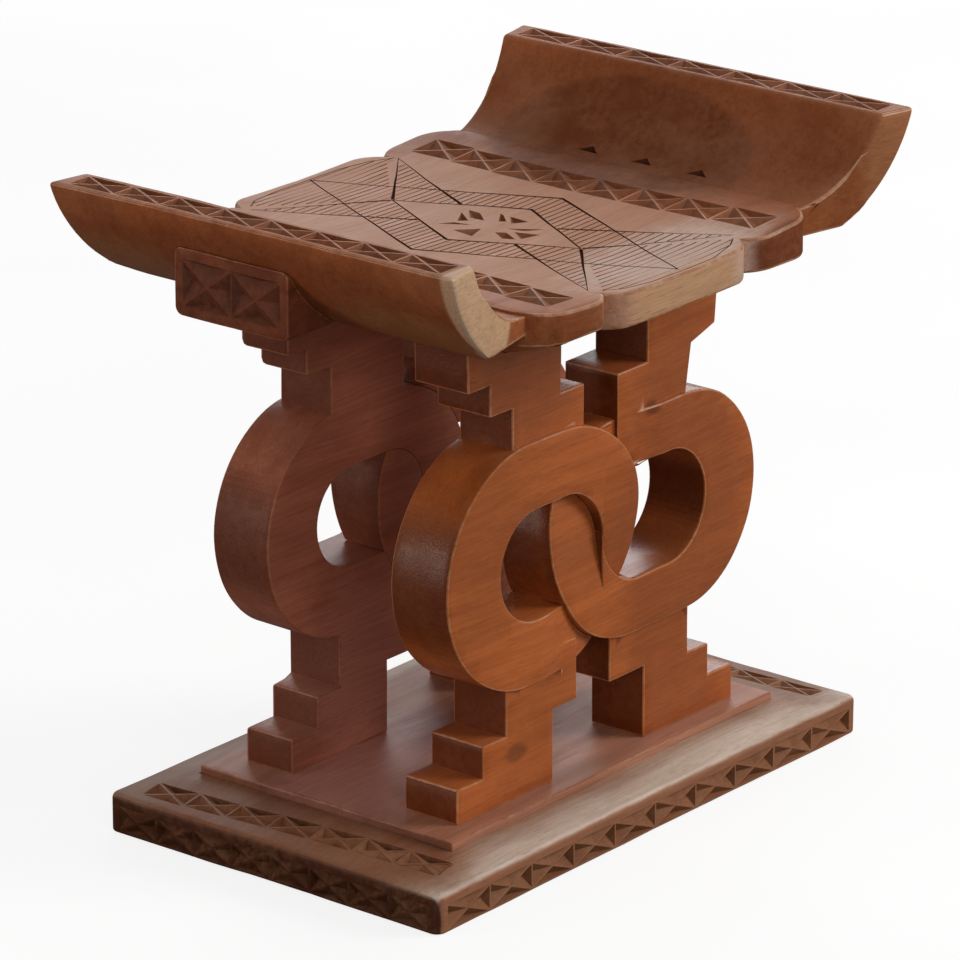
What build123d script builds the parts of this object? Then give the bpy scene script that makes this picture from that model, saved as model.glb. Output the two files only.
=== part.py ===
from build123d import *
from math import acos, degrees, sqrt
from typing import NamedTuple
import os

# A low carved stool. A curved seat with curled-up ends stands on two upright
# panels, front and back. Each panel is a pair of linked rings, and each ring has a
# stepped neck under the seat and a stepped foot on a thin plinth over the base.
#
# Millimetres. The origin is the middle of the base's underside, +X runs along the
# seat to its right end, -Y is the front and +Z is up.

# ---- Base board -----------------------------------------------------------------
base_length = 390.0
base_width = 242.0
base_edge_height = 22.7      # thickness at the board's edges
base_crown = 5.3             # how much higher the top is at the plinth
base_corner_radius = 6.0     # the four upright corners
base_edge_round = 1.5        # the lower edges

# ---- Plinth ---------------------------------------------------------------------
plinth_length = 296.0
plinth_width = 185.0
plinth_reveal = 4.5          # stands above the base's crown
plinth_housing = 3.0         # let into the base
plinth_clearance = 0.2

# ---- Panels: distances from the stool's middle plane to their faces ----------------
panel_inner = 41.5
panel_outer = 79.3           # outer face of the necks and feet
ring_proud = 2.8             # the rings stand out this much further

# ---- Rings, drawn as round-ended slots -----------------------------------------------
left_ring_centre = 50.9      # from the middle plane, along X
left_ring_mid = 169.4        # height of the middle
left_ring_length = 176.2
left_ring_height = 142.4
right_ring_centre = 51.0
right_ring_mid = 167.4
right_ring_length = 183.0
right_ring_height = 131.4
left_hole_reach = 91.7       # far end of the hole, along X
right_hole_reach = 95.1
left_hole_height = 65.6
right_hole_height = 67.6
hole_mid = 168.2
strand_gap = 0.2             # between the two strands where they pass side by side

# ---- Rings of the back panel, cut a little further to the left ---------------------------
back_left_ring_centre = 56.7
back_right_ring_centre = 43.0
back_ring_mid = 170.7
back_left_ring_length = 177.0
back_right_ring_length = 183.0
back_ring_height = 136.0
back_left_hole_reach = 102.3
back_right_hole_reach = 87.0
back_hole_height = 60.0
back_hole_mid = 172.6
back_strand_meeting = -8.4   # where the two strands pass side by side

# ---- Crossings ----------------------------------------------------------------------
lap_clearance = 0.1          # all round a half lap
inner_ramp_depth = 10.0      # how far the side strand dips before it passes under
outer_ramp_depth = 7.0       # the same on the ring's outer stretch
outer_ramp_run = 55.0        # length of that dip

# ---- Necks: reach along X from the middle plane, and height of each shelf --------------
neck_bite = 15.0             # how far a neck or foot runs into its ring
left_neck_top_reach = 117.5
left_neck_middle_reach = 98.2
left_neck_low_reach = 78.5
left_neck_high_shelf = 282.0
left_neck_low_shelf = 263.5
left_neck_inner = 34.6
left_lip_reach = 14.0
left_lip_height = 262.0
right_neck_top_reach = 111.5
right_neck_middle_reach = 106.5
right_neck_bevel_reach = 84.0
right_neck_low_reach = 77.0
right_neck_bevel_top = 267.0
right_neck_bevel_bottom = 260.4
right_neck_inner = 43.6
right_lip_reach = 16.0
right_lip_height = 259.5
back_neck_top_reach = 126.0
back_neck_middle_reach = 110.0
back_neck_low_reach = 89.0
back_neck_high_shelf = 281.0
back_neck_low_shelf = 266.0
back_neck_inner = 25.0

# ---- Feet -----------------------------------------------------------------------------
foot_low_reach = 126.5
foot_middle_reach = 103.8
foot_top_reach = 84.0
foot_low_shelf = 53.3        # heights above the floor
foot_high_shelf = 72.5
foot_inner = 42.0
foot_lip_height = 76.0
left_foot_lip_reach = 20.5
right_foot_lip_reach = 10.0

# ---- Mortise and tenon joints of the links -----------------------------------------------
tenon_length = 46.0          # along X
tenon_thickness = 18.0       # along Y
seat_tenon_height = 12.0
base_tenon_depth = 12.0      # below the plinth
neck_tenon_centre = 76.0     # from the middle plane, along X
foot_tenon_centre = 84.0
tenon_clearance = 0.2

# ---- Seat ---------------------------------------------------------------------------------
seat_height = 335.0          # top of the seat in its middle
seat_thickness = 22.0        # there
rim_height = 383.0           # top of the curled ends
plank_thickness = 24.6       # through the curl
curl_radius = 70.5           # inside of the curl
curl_start = 117.4           # where the underside starts to rise, along X
lobe_end = 125.0             # where the raised lobes stop, along X
lobe_step = 1.8              # how far they stand above the curl there
middle_lobe_length = 134.0   # along X
middle_lobe_width = 280.0    # along Y
middle_lobe_shift = 2.0      # it sits a little towards the back
middle_lobe_round = 21.0
side_lobe_start = 58.0       # hidden under the middle lobe
side_lobe_width = 276.0
side_lobe_round = 24.0
curl_neck_width = 248.5      # width of the curl where it leaves the lobes
curl_overlap = 4.0           # it starts this far inside the lobes
rim_width = 285.4            # width at the rim
edge_taper = 22.0            # width of the strip where the plank thins, along Y
middle_lobe_lift = 2.5       # how much thinner it is there
left_lobe_lift = 7.5
right_lobe_lift = 3.5
left_curl_lift = 14.0
right_curl_lift = 9.0

# ---- Lugs under the curls ------------------------------------------------------------------
lug_inset = 8.1              # its end face stands this far inside the rim, along X
lug_bottom_share = 0.12      # heights as shares of the curl's rise
lug_height_share = 0.555
lug_width = 81.0             # along Y
lug_shift = 18.0             # towards the back
lug_corner_radius = 5.0
lug_tenon_reach = 31.0       # from the end face to the tenon's tip
lug_tenon_width = 40.0
lug_tenon_share = 0.36       # tenon height as a share of the lug's

# ---- Carved rows: cells with an X of ridges between four three-sided pits -------------------
chip_ridge = 2.2             # wood left between two pits
chip_edge = 0.7              # wood left at a row's long edges
chip_heel = 0.3              # deepest point, as a share from the long side to the tip
chip_floor = 0.1             # size of the floor, as a share of the opening
chip_clearance = 4.0         # how far the cutting tool stands out of the wood
left_rim_cells = 8
right_rim_cells = 7
rim_row_margin = 4.3         # plain wood along the rim's edges
rim_row_end = 11.7           # and beyond the row's ends
rim_row_depth = 2.7
lobe_cells = 8
lobe_row_reach = 89.5        # middle of the row, along X
lobe_row_width = 24.5
lobe_row_end = 14.0
lobe_row_bow = 4.5           # its ends bend this far towards the curl
lobe_row_depth = 2.6
base_long_cells = 10
base_short_cells = 8
base_row_bottom = 1.6        # above the floor
base_row_height = 15.2
base_row_end = 7.5
base_row_depth = 3.0
top_cells = 7
top_row_reach = 172.5        # middle of the row on the base's top, along X
top_row_width = 16.5
top_row_end = 17.0
top_row_depth = 2.1
top_row_turn = 3.1           # degrees out of square
lug_cells = 2
lug_row_end = 5.5
lug_row_margin = 6.2
lug_row_depth = 3.4

# ---- Values that follow ----------------------------------------------------------------------
crown_height = base_edge_height + base_crown
plinth_bottom = crown_height - plinth_housing
plinth_top = crown_height + plinth_reveal
seat_underside = seat_height - seat_thickness
curl_outer_radius = curl_radius + plank_thickness
curl_centre_height = seat_underside + curl_outer_radius
rim_drop = curl_centre_height - rim_height
rim_inner_reach = curl_start + sqrt(curl_radius**2 - rim_drop**2)
rim_outer_reach = curl_start + sqrt(curl_outer_radius**2 - rim_drop**2)
ring_outer = panel_outer + ring_proud
ring_thickness = ring_outer - panel_inner
panel_thickness = panel_outer - panel_inner
panel_middle = (panel_outer + panel_inner) / 2
lap_depth = ring_thickness / 2
curl_rise = rim_height - seat_underside
lug_face = rim_outer_reach - lug_inset
lug_bottom = seat_underside + lug_bottom_share * curl_rise
lug_height = lug_height_share * curl_rise
lug_middle_height = lug_bottom + lug_height / 2
lug_tenon_height = lug_tenon_share * lug_height
rim_row_middle = (rim_inner_reach + rim_outer_reach) / 2
rim_row_width = rim_outer_reach - rim_inner_reach - 2 * rim_row_margin
base_slope_run = (base_length - plinth_length) / 2
top_row_height = (
    base_edge_height + base_crown * (base_length / 2 - top_row_reach) / base_slope_run
)

# Planes of the front panel, seen from outside: X to the right, Z up.
ring_face = Plane(origin=(0, -ring_outer, 0), x_dir=(1, 0, 0), z_dir=(0, -1, 0))
panel_face = ring_face.offset(-ring_proud)
inner_face = ring_face.offset(-ring_thickness)


class Oval(NamedTuple):
    """A slot with round ends in a panel's plane."""

    across: float
    up: float
    length: float
    height: float


class Shelf(NamedTuple):
    """One step of a neck or foot: how far it reaches and how high it goes."""

    reach: float
    height: float


class Lobe(NamedTuple):
    """One rounded panel of the seat in plan."""

    across: float
    shift: float
    length: float
    width: float
    corner: float
    lift: float


class Link(NamedTuple):
    """What one link is cut to: its side, its ring and hole, and two outlines."""

    side: int
    ring: Oval
    hole: Oval
    neck: list
    foot: list
    over_at_top: bool


def hole_between(near_edge, far_edge, up, height):
    """The oval that spans from one edge to the other along X."""
    middle = (near_edge + far_edge) / 2
    return Oval(middle, up, abs(far_edge - near_edge), height)


def draw_oval(oval, grow=0.0, mode=Mode.ADD):
    """Adds an oval, grown all round, to the open sketch."""
    with Locations((oval.across, oval.up)):
        SlotOverall(oval.length + 2 * grow, oval.height + 2 * grow, mode=mode)


def ring_top(ring):
    """Height of a ring's top."""
    return ring.up + ring.height / 2


def ring_bottom(ring):
    """Height of a ring's underside."""
    return ring.up - ring.height / 2


def stair(side, start_height, shelves):
    """Corners up one edge of a neck or foot, from shelf to shelf."""
    corners = []
    height = start_height
    for shelf in shelves:
        corners.append((side * shelf.reach, height))
        corners.append((side * shelf.reach, shelf.height))
        height = shelf.height
    return corners


def square_neck(side, ring, outside, inside):
    """Outline of a neck with square steps, from its ring to the seat."""
    root = ring_top(ring) - neck_bite
    return stair(side, root, outside) + stair(side, root, inside)[::-1]


def bevelled_neck(side, ring):
    """Outline of a neck with one bevelled step outside and one lip inside."""
    root = ring_top(ring) - neck_bite
    outside = [
        (side * right_neck_low_reach, root),
        (side * right_neck_bevel_reach, right_neck_bevel_bottom),
        (side * right_neck_middle_reach, right_neck_bevel_top),
        (side * right_neck_top_reach, seat_underside),
    ]
    inside = [
        Shelf(right_lip_reach, right_lip_height),
        Shelf(right_neck_inner, seat_underside),
    ]
    return outside + stair(side, root, inside)[::-1]


def stepped_foot(side, ring, lip_reach):
    """Outline of a foot with two steps outside and an overhang inside."""
    root = ring_bottom(ring) + neck_bite
    outside = [
        Shelf(foot_low_reach, foot_low_shelf),
        Shelf(foot_middle_reach, foot_high_shelf),
        Shelf(foot_top_reach, root),
    ]
    inside = [Shelf(foot_inner, foot_lip_height), Shelf(lip_reach, root)]
    return stair(side, plinth_top, outside) + stair(side, plinth_top, inside)[::-1]


def cut_link(link, other):
    """Makes one link of the front panel, with its laps, ramps and tenons."""
    under = -1 if link.over_at_top else 1
    shallow = link.hole.up - under * link.hole.height / 2
    deep = link.hole.up + under * link.hole.height / 2
    strand_edge = link.ring.across - link.side * link.ring.length / 2
    hole_edge = link.hole.across - link.side * link.hole.length / 2
    with BuildPart() as made:
        with BuildSketch(ring_face):
            draw_oval(link.ring)
            draw_oval(link.hole, mode=Mode.SUBTRACT)
        extrude(amount=-ring_thickness)
        # The ring slopes back on both sides of the place where it passes under.
        with BuildSketch(Plane.YZ.offset(strand_edge)):
            Polygon(
                (-ring_outer, shallow),
                (-ring_outer, deep),
                (-ring_outer + inner_ramp_depth, deep),
                align=None,
            )
        extrude(amount=hole_edge - strand_edge, mode=Mode.SUBTRACT)
        with BuildSketch(Plane.XY.offset(deep)):
            Polygon(
                (hole_edge + link.side * outer_ramp_run, -ring_outer),
                (hole_edge, -ring_outer),
                (hole_edge, -ring_outer + outer_ramp_depth),
                align=None,
            )
        extrude(amount=under * link.ring.height / 2, mode=Mode.SUBTRACT)
        with BuildSketch(panel_face):
            Polygon(*link.neck, align=None)
            Polygon(*link.foot, align=None)
        extrude(amount=-panel_thickness)
        for end in (1, -1):
            passes_over = link.over_at_top == (end > 0)
            lap_start = inner_face if passes_over else ring_face
            lap_cut = lap_depth + lap_clearance / 2
            with BuildSketch(lap_start):
                draw_oval(other.ring, lap_clearance)
                draw_oval(other.hole, -lap_clearance, Mode.SUBTRACT)
                with Locations((other.ring.across, link.hole.up + end * other.ring.height / 2)):
                    Rectangle(2 * other.ring.length, other.ring.height, mode=Mode.INTERSECT)
            extrude(amount=lap_cut if passes_over else -lap_cut, mode=Mode.SUBTRACT)
        with BuildSketch(Plane.XY.offset(seat_underside)):
            with Locations((link.side * neck_tenon_centre, -panel_middle)):
                Rectangle(tenon_length, tenon_thickness)
        extrude(amount=seat_tenon_height)
        with BuildSketch(Plane.XY.offset(plinth_top)):
            with Locations((link.side * foot_tenon_centre, -panel_middle)):
                Rectangle(tenon_length, tenon_thickness)
        extrude(amount=plinth_bottom - base_tenon_depth - plinth_top)
    return made


def cut_chip(base, reach, margin, depth):
    """Makes the tool for one pit, its long side towards -Y and its tip near the origin."""
    slope = base / 2 / reach
    tip = -chip_ridge / 2 * sqrt(1 + slope**2) / slope
    foot = margin - reach
    half = (tip - foot) * slope
    corners = [Vector(-half, foot), Vector(half, foot), Vector(0, tip)]
    deepest = Vector(0, foot + chip_heel * (tip - foot))
    with BuildPart() as made:
        with BuildSketch():
            Polygon(*corners, align=None)
        extrude(amount=-depth)
        for start, end in zip(corners, corners[1:] + corners[:1]):
            along = (end - start).normalized()
            outward = along.cross(Vector(0, 0, 1))
            lean = (1 - chip_floor) * (start - deepest).dot(outward) / depth
            wall = Plane(start, along, outward - Vector(0, 0, lean))
            split(bisect_by=wall, keep=Keep.BOTTOM)
        with BuildSketch():
            Polygon(*corners, align=None)
        extrude(amount=chip_clearance)
    return made


def cut_row(cells, length, width, depth, bow=0.0):
    """Makes the tool for a row of cells, laid flat along X, its ends bent towards +Y."""
    cell = length / cells
    long_chip = cut_chip(cell, width / 2, chip_edge, depth)
    side_chip = cut_chip(width, cell / 2, chip_ridge / 2, depth)
    with BuildPart() as made:
        for number in range(cells):
            across = (number + 1 / 2) * cell - length / 2
            with Locations((across, bow * abs(2 * across / length) ** 3)):
                add(long_chip.part)
                add(side_chip.part, rotation=(0, 0, 90))
                add(long_chip.part, rotation=(0, 0, 180))
                add(side_chip.part, rotation=(0, 0, 270))
    return made


# ---- The links of the two panels ------------------------------------------------------------
left_ring = Oval(-left_ring_centre, left_ring_mid, left_ring_length, left_ring_height)
left_hole = hole_between(strand_gap / 2, -left_hole_reach, hole_mid, left_hole_height)
right_ring = Oval(right_ring_centre, right_ring_mid, right_ring_length, right_ring_height)
right_hole = hole_between(-strand_gap / 2, right_hole_reach, hole_mid, right_hole_height)

front_left = Link(
    side=-1,
    ring=left_ring,
    hole=left_hole,
    neck=square_neck(
        -1,
        left_ring,
        [
            Shelf(left_neck_low_reach, left_neck_low_shelf),
            Shelf(left_neck_middle_reach, left_neck_high_shelf),
            Shelf(left_neck_top_reach, seat_underside),
        ],
        [Shelf(left_lip_reach, left_lip_height), Shelf(left_neck_inner, seat_underside)],
    ),
    foot=stepped_foot(-1, left_ring, left_foot_lip_reach),
    over_at_top=True,
)
front_right = Link(
    side=1,
    ring=right_ring,
    hole=right_hole,
    neck=bevelled_neck(1, right_ring),
    foot=stepped_foot(1, right_ring, right_foot_lip_reach),
    over_at_top=False,
)

# The back panel is laid out as a front one and mirrored to its place. Seen from
# behind it has the same over and under as the front one seen from the front.
back_left_ring = Oval(
    -back_left_ring_centre, back_ring_mid, back_left_ring_length, back_ring_height
)
back_right_ring = Oval(
    back_right_ring_centre, back_ring_mid, back_right_ring_length, back_ring_height
)
back_left = Link(
    side=-1,
    ring=back_left_ring,
    hole=hole_between(
        back_strand_meeting + strand_gap / 2,
        -back_left_hole_reach,
        back_hole_mid,
        back_hole_height,
    ),
    neck=square_neck(
        -1,
        back_left_ring,
        [
            Shelf(back_neck_low_reach, back_neck_low_shelf),
            Shelf(back_neck_middle_reach, back_neck_high_shelf),
            Shelf(back_neck_top_reach, seat_underside),
        ],
        [Shelf(back_neck_inner, seat_underside)],
    ),
    foot=stepped_foot(-1, back_left_ring, left_foot_lip_reach),
    over_at_top=False,
)
back_right = Link(
    side=1,
    ring=back_right_ring,
    hole=hole_between(
        back_strand_meeting - strand_gap / 2,
        back_right_hole_reach,
        back_hole_mid,
        back_hole_height,
    ),
    neck=square_neck(
        1,
        back_right_ring,
        [
            Shelf(left_neck_low_reach, left_neck_low_shelf),
            Shelf(left_neck_middle_reach, left_neck_high_shelf),
            Shelf(left_neck_top_reach, seat_underside),
        ],
        [Shelf(left_lip_reach, left_lip_height), Shelf(left_neck_inner, seat_underside)],
    ),
    foot=stepped_foot(1, back_right_ring, right_foot_lip_reach),
    over_at_top=True,
)

front_left_link = cut_link(front_left, front_right)
front_right_link = cut_link(front_right, front_left)
back_left_blank = cut_link(back_left, back_right)
back_right_blank = cut_link(back_right, back_left)

with BuildPart() as back_left_link:
    mirror(back_left_blank.part, about=Plane.XZ)

with BuildPart() as back_right_link:
    mirror(back_right_blank.part, about=Plane.XZ)

# ---- Tools for the carved rows of the base --------------------------------------------------
base_long_row = cut_row(
    base_long_cells, base_length - 2 * base_row_end, base_row_height, base_row_depth
)
base_short_row = cut_row(
    base_short_cells, base_width - 2 * base_row_end, base_row_height, base_row_depth
)
top_row = cut_row(top_cells, base_width - 2 * top_row_end, top_row_width, top_row_depth)
base_row_middle = base_row_bottom + base_row_height / 2

# ---- Base: a board whose top rises a little to the plinth -------------------------------------
with BuildPart() as base:
    with BuildSketch():
        Rectangle(base_length, base_width)
    extrude(amount=base_edge_height)
    with BuildSketch(Plane.XY.offset(base_edge_height)):
        Rectangle(base_length, base_width)
    with BuildSketch(Plane.XY.offset(crown_height)):
        Rectangle(plinth_length, plinth_width)
    loft()
    fillet(base.edges().filter_by(Axis.Z), base_corner_radius)
    fillet(base.faces().sort_by(Axis.Z)[0].edges(), base_edge_round)
    with BuildSketch(Plane.XY.offset(plinth_bottom)):
        Rectangle(plinth_length + 2 * plinth_clearance, plinth_width + 2 * plinth_clearance)
    extrude(amount=crown_height, mode=Mode.SUBTRACT)
    with BuildSketch(Plane.XY.offset(plinth_bottom)):
        with GridLocations(2 * foot_tenon_centre, 2 * panel_middle, 2, 2):
            Rectangle(tenon_length + 2 * tenon_clearance, tenon_thickness + 2 * tenon_clearance)
    extrude(amount=-base_tenon_depth - tenon_clearance, mode=Mode.SUBTRACT)
    for side in (-1, 1):
        with Locations(
            Plane((0, side * base_width / 2, base_row_middle), (-side, 0, 0), (0, side, 0))
        ):
            add(base_long_row.part, mode=Mode.SUBTRACT)
        with Locations(
            Plane((side * base_length / 2, 0, base_row_middle), (0, side, 0), (side, 0, 0))
        ):
            add(base_short_row.part, mode=Mode.SUBTRACT)
        slope = Plane(
            (side * top_row_reach, 0, top_row_height),
            (0, -side, 0),
            (side * base_crown, 0, base_slope_run),
        )
        with Locations(slope.rotated((0, 0, top_row_turn))):
            add(top_row.part, mode=Mode.SUBTRACT)

# ---- Plinth: a thin board with a through mortise for each foot ---------------------------------
with BuildPart() as plinth:
    with BuildSketch(Plane.XY.offset(plinth_bottom)):
        Rectangle(plinth_length, plinth_width)
        with GridLocations(2 * foot_tenon_centre, 2 * panel_middle, 2, 2):
            Rectangle(
                tenon_length + 2 * tenon_clearance,
                tenon_thickness + 2 * tenon_clearance,
                mode=Mode.SUBTRACT,
            )
    extrude(amount=plinth_top - plinth_bottom)


def lug_tenon(side, grow=0.0):
    """Adds the sketch of a lug's tenon in plan, grown by a clearance."""
    length = lug_tenon_reach + grow
    with Locations((side * (lug_face - length / 2), lug_shift)):
        Rectangle(length, lug_tenon_width + 2 * grow)


def draw_curl_plan(side, inset):
    """Adds the plan of one curled end, its long edges moved in by an inset."""
    inner_x = side * (lobe_end - curl_overlap)
    outer_x = side * rim_outer_reach
    inner_y = curl_neck_width / 2 - curl_overlap * curl_taper - inset
    outer_y = rim_width / 2 - inset
    Polygon(
        (inner_x, inner_y),
        (outer_x, outer_y),
        (outer_x, -outer_y),
        (inner_x, -inner_y),
        align=None,
    )


# ---- Seat: side profile first, then cut to its plan and mortised -------------------------------
curl_sweep = degrees(acos(rim_drop / curl_outer_radius))
curl_inner_sweep = degrees(acos(rim_drop / curl_radius))
dish_rise = (
    curl_centre_height
    - sqrt(curl_radius**2 - (lobe_end - curl_start) ** 2)
    + lobe_step
    - seat_height
)
dish_radius = (lobe_end**2 + dish_rise**2) / (2 * dish_rise)
middle_lobe = Lobe(
    across=0,
    shift=middle_lobe_shift,
    length=middle_lobe_length,
    width=middle_lobe_width,
    corner=middle_lobe_round,
    lift=middle_lobe_lift,
)
left_lobe = Lobe(
    across=-(side_lobe_start + lobe_end) / 2,
    shift=0,
    length=lobe_end - side_lobe_start,
    width=side_lobe_width,
    corner=side_lobe_round,
    lift=left_lobe_lift,
)
right_lobe = left_lobe._replace(across=-left_lobe.across, lift=right_lobe_lift)
curl_taper = (rim_width - curl_neck_width) / 2 / (rim_outer_reach - lobe_end)

# Blocks that cut the curls to their plan: wider towards the rims, thinner at the edges.
with BuildPart() as curl_blocks:
    for side, lift in ((-1, left_curl_lift), (1, right_curl_lift)):
        for height, inset in ((seat_underside, edge_taper), (seat_underside + lift, 0)):
            with BuildSketch(Plane.XY.offset(height)):
                draw_curl_plan(side, inset)
        loft()
        with BuildSketch(Plane.XY.offset(seat_underside + lift)):
            draw_curl_plan(side, 0)
        extrude(amount=curl_rise)

# The curled ends of the plank.
with BuildPart() as curls:
    with BuildSketch(Plane.XZ) as plank_profile:
        with BuildLine():
            Line((0, seat_underside), (curl_start, seat_underside))
            outside = CenterArc(
                (curl_start, curl_centre_height), curl_outer_radius, -90, curl_sweep
            )
            Line(outside @ 1, (rim_inner_reach, rim_height))
            inside = CenterArc(
                (curl_start, curl_centre_height), curl_radius, -90, curl_inner_sweep
            )
            Line(inside @ 0, (0, curl_centre_height - curl_radius))
            Line((0, curl_centre_height - curl_radius), (0, seat_underside))
        make_face()
        mirror(about=Plane.YZ)
    extrude(amount=rim_width, both=True)
    add(curl_blocks.part, mode=Mode.INTERSECT)

# The lobed middle of the seat, dished along X and thinner at its edges.
with BuildPart() as lobes:
    for lobe in (middle_lobe, left_lobe, right_lobe):
        with BuildSketch(Plane.XY.offset(seat_underside)):
            with Locations((lobe.across, lobe.shift)):
                RectangleRounded(lobe.length, lobe.width - 2 * edge_taper, lobe.corner)
        with BuildSketch(Plane.XY.offset(seat_underside + lobe.lift)):
            with Locations((lobe.across, lobe.shift)):
                RectangleRounded(lobe.length, lobe.width, lobe.corner)
        loft()
        with BuildSketch(Plane.XY.offset(seat_underside + lobe.lift)):
            with Locations((lobe.across, lobe.shift)):
                RectangleRounded(lobe.length, lobe.width, lobe.corner)
        extrude(amount=curl_rise)
    with BuildSketch(Plane.XZ):
        with Locations((0, seat_height + dish_radius)):
            Circle(dish_radius)
    extrude(amount=rim_width, both=True, mode=Mode.SUBTRACT)

# Tools for the carved rows on the rims and along the side lobes.
rim_row_length = rim_width - 2 * rim_row_end
left_rim_row = cut_row(left_rim_cells, rim_row_length, rim_row_width, rim_row_depth)
right_rim_row = cut_row(right_rim_cells, rim_row_length, rim_row_width, rim_row_depth)
lobe_row = cut_row(
    lobe_cells, side_lobe_width - 2 * lobe_row_end, lobe_row_width, lobe_row_depth, lobe_row_bow
)
dish_run = sqrt(dish_radius**2 - lobe_row_reach**2)
lobe_row_height = seat_height + dish_radius - dish_run

with BuildPart() as seat:
    add(lobes.part)
    add(curls.part)
    with BuildSketch(Plane.XY.offset(seat_underside)):
        with GridLocations(2 * neck_tenon_centre, 2 * panel_middle, 2, 2):
            Rectangle(tenon_length + 2 * tenon_clearance, tenon_thickness + 2 * tenon_clearance)
    extrude(amount=seat_tenon_height + tenon_clearance, mode=Mode.SUBTRACT)
    with BuildSketch(Plane.XY.offset(lug_middle_height)):
        lug_tenon(-1, tenon_clearance)
        lug_tenon(1, tenon_clearance)
    extrude(amount=lug_tenon_height / 2 + tenon_clearance, both=True, mode=Mode.SUBTRACT)
    for side, rim_row in ((-1, left_rim_row), (1, right_rim_row)):
        with Locations(Plane((side * rim_row_middle, 0, rim_height), (0, -side, 0))):
            add(rim_row.part, mode=Mode.SUBTRACT)
        on_dish = Plane(
            (side * lobe_row_reach, 0, lobe_row_height),
            (0, -side, 0),
            (-side * lobe_row_reach, 0, dish_run),
        )
        with Locations(on_dish):
            add(lobe_row.part, mode=Mode.SUBTRACT)


# ---- Lugs: blocks coped to the curls ------------------------------------------------------------
lug_row = cut_row(
    lug_cells, lug_width - 2 * lug_row_end, lug_height - 2 * lug_row_margin, lug_row_depth
)


def cut_lug(side):
    """Makes the lug under one end of the seat."""
    with BuildPart() as made:
        with BuildSketch(Plane.YZ.offset(side * lug_face)):
            with Locations((lug_shift, lug_middle_height)):
                RectangleRounded(lug_width, lug_height, lug_corner_radius)
        extrude(amount=-side * (lug_face - curl_start))
        with BuildSketch(Plane.XZ):
            with Locations((side * curl_start, curl_centre_height)):
                Circle(curl_outer_radius)
        extrude(amount=rim_width, both=True, mode=Mode.SUBTRACT)
        with BuildSketch(Plane.XY.offset(lug_middle_height)):
            lug_tenon(side)
        extrude(amount=lug_tenon_height / 2, both=True)
        with Locations(
            Plane((side * lug_face, lug_shift, lug_middle_height), (0, side, 0), (side, 0, 0))
        ):
            add(lug_row.part, mode=Mode.SUBTRACT)
    return made


left_lug = cut_lug(-1)
right_lug = cut_lug(1)

# ---- Output: one file for each piece ------------------------------------------------------------
os.makedirs("parts", exist_ok=True)
seat.part.label = "seat"
left_lug.part.label = "left_lug"
right_lug.part.label = "right_lug"
front_left_link.part.label = "front_left_link"
front_right_link.part.label = "front_right_link"
back_left_link.part.label = "back_left_link"
back_right_link.part.label = "back_right_link"
plinth.part.label = "plinth"
base.part.label = "base"
for piece in (
    seat, left_lug, right_lug, front_left_link, front_right_link,
    back_left_link, back_right_link, plinth, base,
):
    export_step(piece.part, f"parts/{piece.part.label}.step")
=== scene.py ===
import logging
import math
from contextlib import contextmanager
from dataclasses import dataclass, replace
from enum import Enum
from typing import Callable, Iterable, Iterator, Sequence

import bmesh
import bpy
from mathutils import Matrix, Quaternion, Vector, noise


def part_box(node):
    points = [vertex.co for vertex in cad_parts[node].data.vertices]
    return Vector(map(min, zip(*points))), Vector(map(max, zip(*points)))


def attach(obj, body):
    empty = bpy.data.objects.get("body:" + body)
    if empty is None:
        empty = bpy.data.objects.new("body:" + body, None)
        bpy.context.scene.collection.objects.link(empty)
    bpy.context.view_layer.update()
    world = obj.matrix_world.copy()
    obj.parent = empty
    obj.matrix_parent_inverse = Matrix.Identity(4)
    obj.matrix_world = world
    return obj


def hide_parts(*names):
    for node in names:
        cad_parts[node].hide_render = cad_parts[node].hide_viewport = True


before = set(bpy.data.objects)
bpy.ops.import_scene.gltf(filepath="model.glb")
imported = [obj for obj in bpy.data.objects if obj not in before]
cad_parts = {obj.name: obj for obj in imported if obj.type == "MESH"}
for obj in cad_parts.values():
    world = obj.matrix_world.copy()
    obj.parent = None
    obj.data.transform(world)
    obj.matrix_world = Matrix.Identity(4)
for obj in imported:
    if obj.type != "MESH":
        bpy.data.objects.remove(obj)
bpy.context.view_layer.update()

MM = 0.001
WORN_AND_HIGHLIT_EDGE = 1  # material index of the rounded edges, paler partly for wear and partly as a painted highlight; carved hollows come after it
TOOL_LIFT = 0.06 * MM  # carving tools start this far above the wood, so that no edge lies in it
TOOL_RISE = 3 * MM  # and end this far above it
TOOL_SHIFTS = [Vector(step) * MM for step in (
    (0, 0, 0), (0.02, 0.01, 0.02), (-0.05, 0.02, 0.01), (0.03, -0.06, -0.02), (0.04, 0.07, 0.04))]
WEAR_SEED = 12  # of the wandering of hand-cut surfaces
WEAR_CELLS = 9.0  # per metre, of its slow bends; the fine wandering has four times as many
LOG_HEIGHT = 0.19  # of the log's pith above the floor
END_GRAIN_AND_SHADE_TINT = (0.28, 0.2, 0.16)  # how dark end grain is against the streaks, per colour channel; on the faces turned along X this darkening is also painted shade
log = logging.getLogger("stool")

Socket = bpy.types.NodeSocket
Material = bpy.types.Material
Place = Callable[[Vector], Vector]
Point = tuple[float, float]
Triple = tuple[float, float, float]


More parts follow.
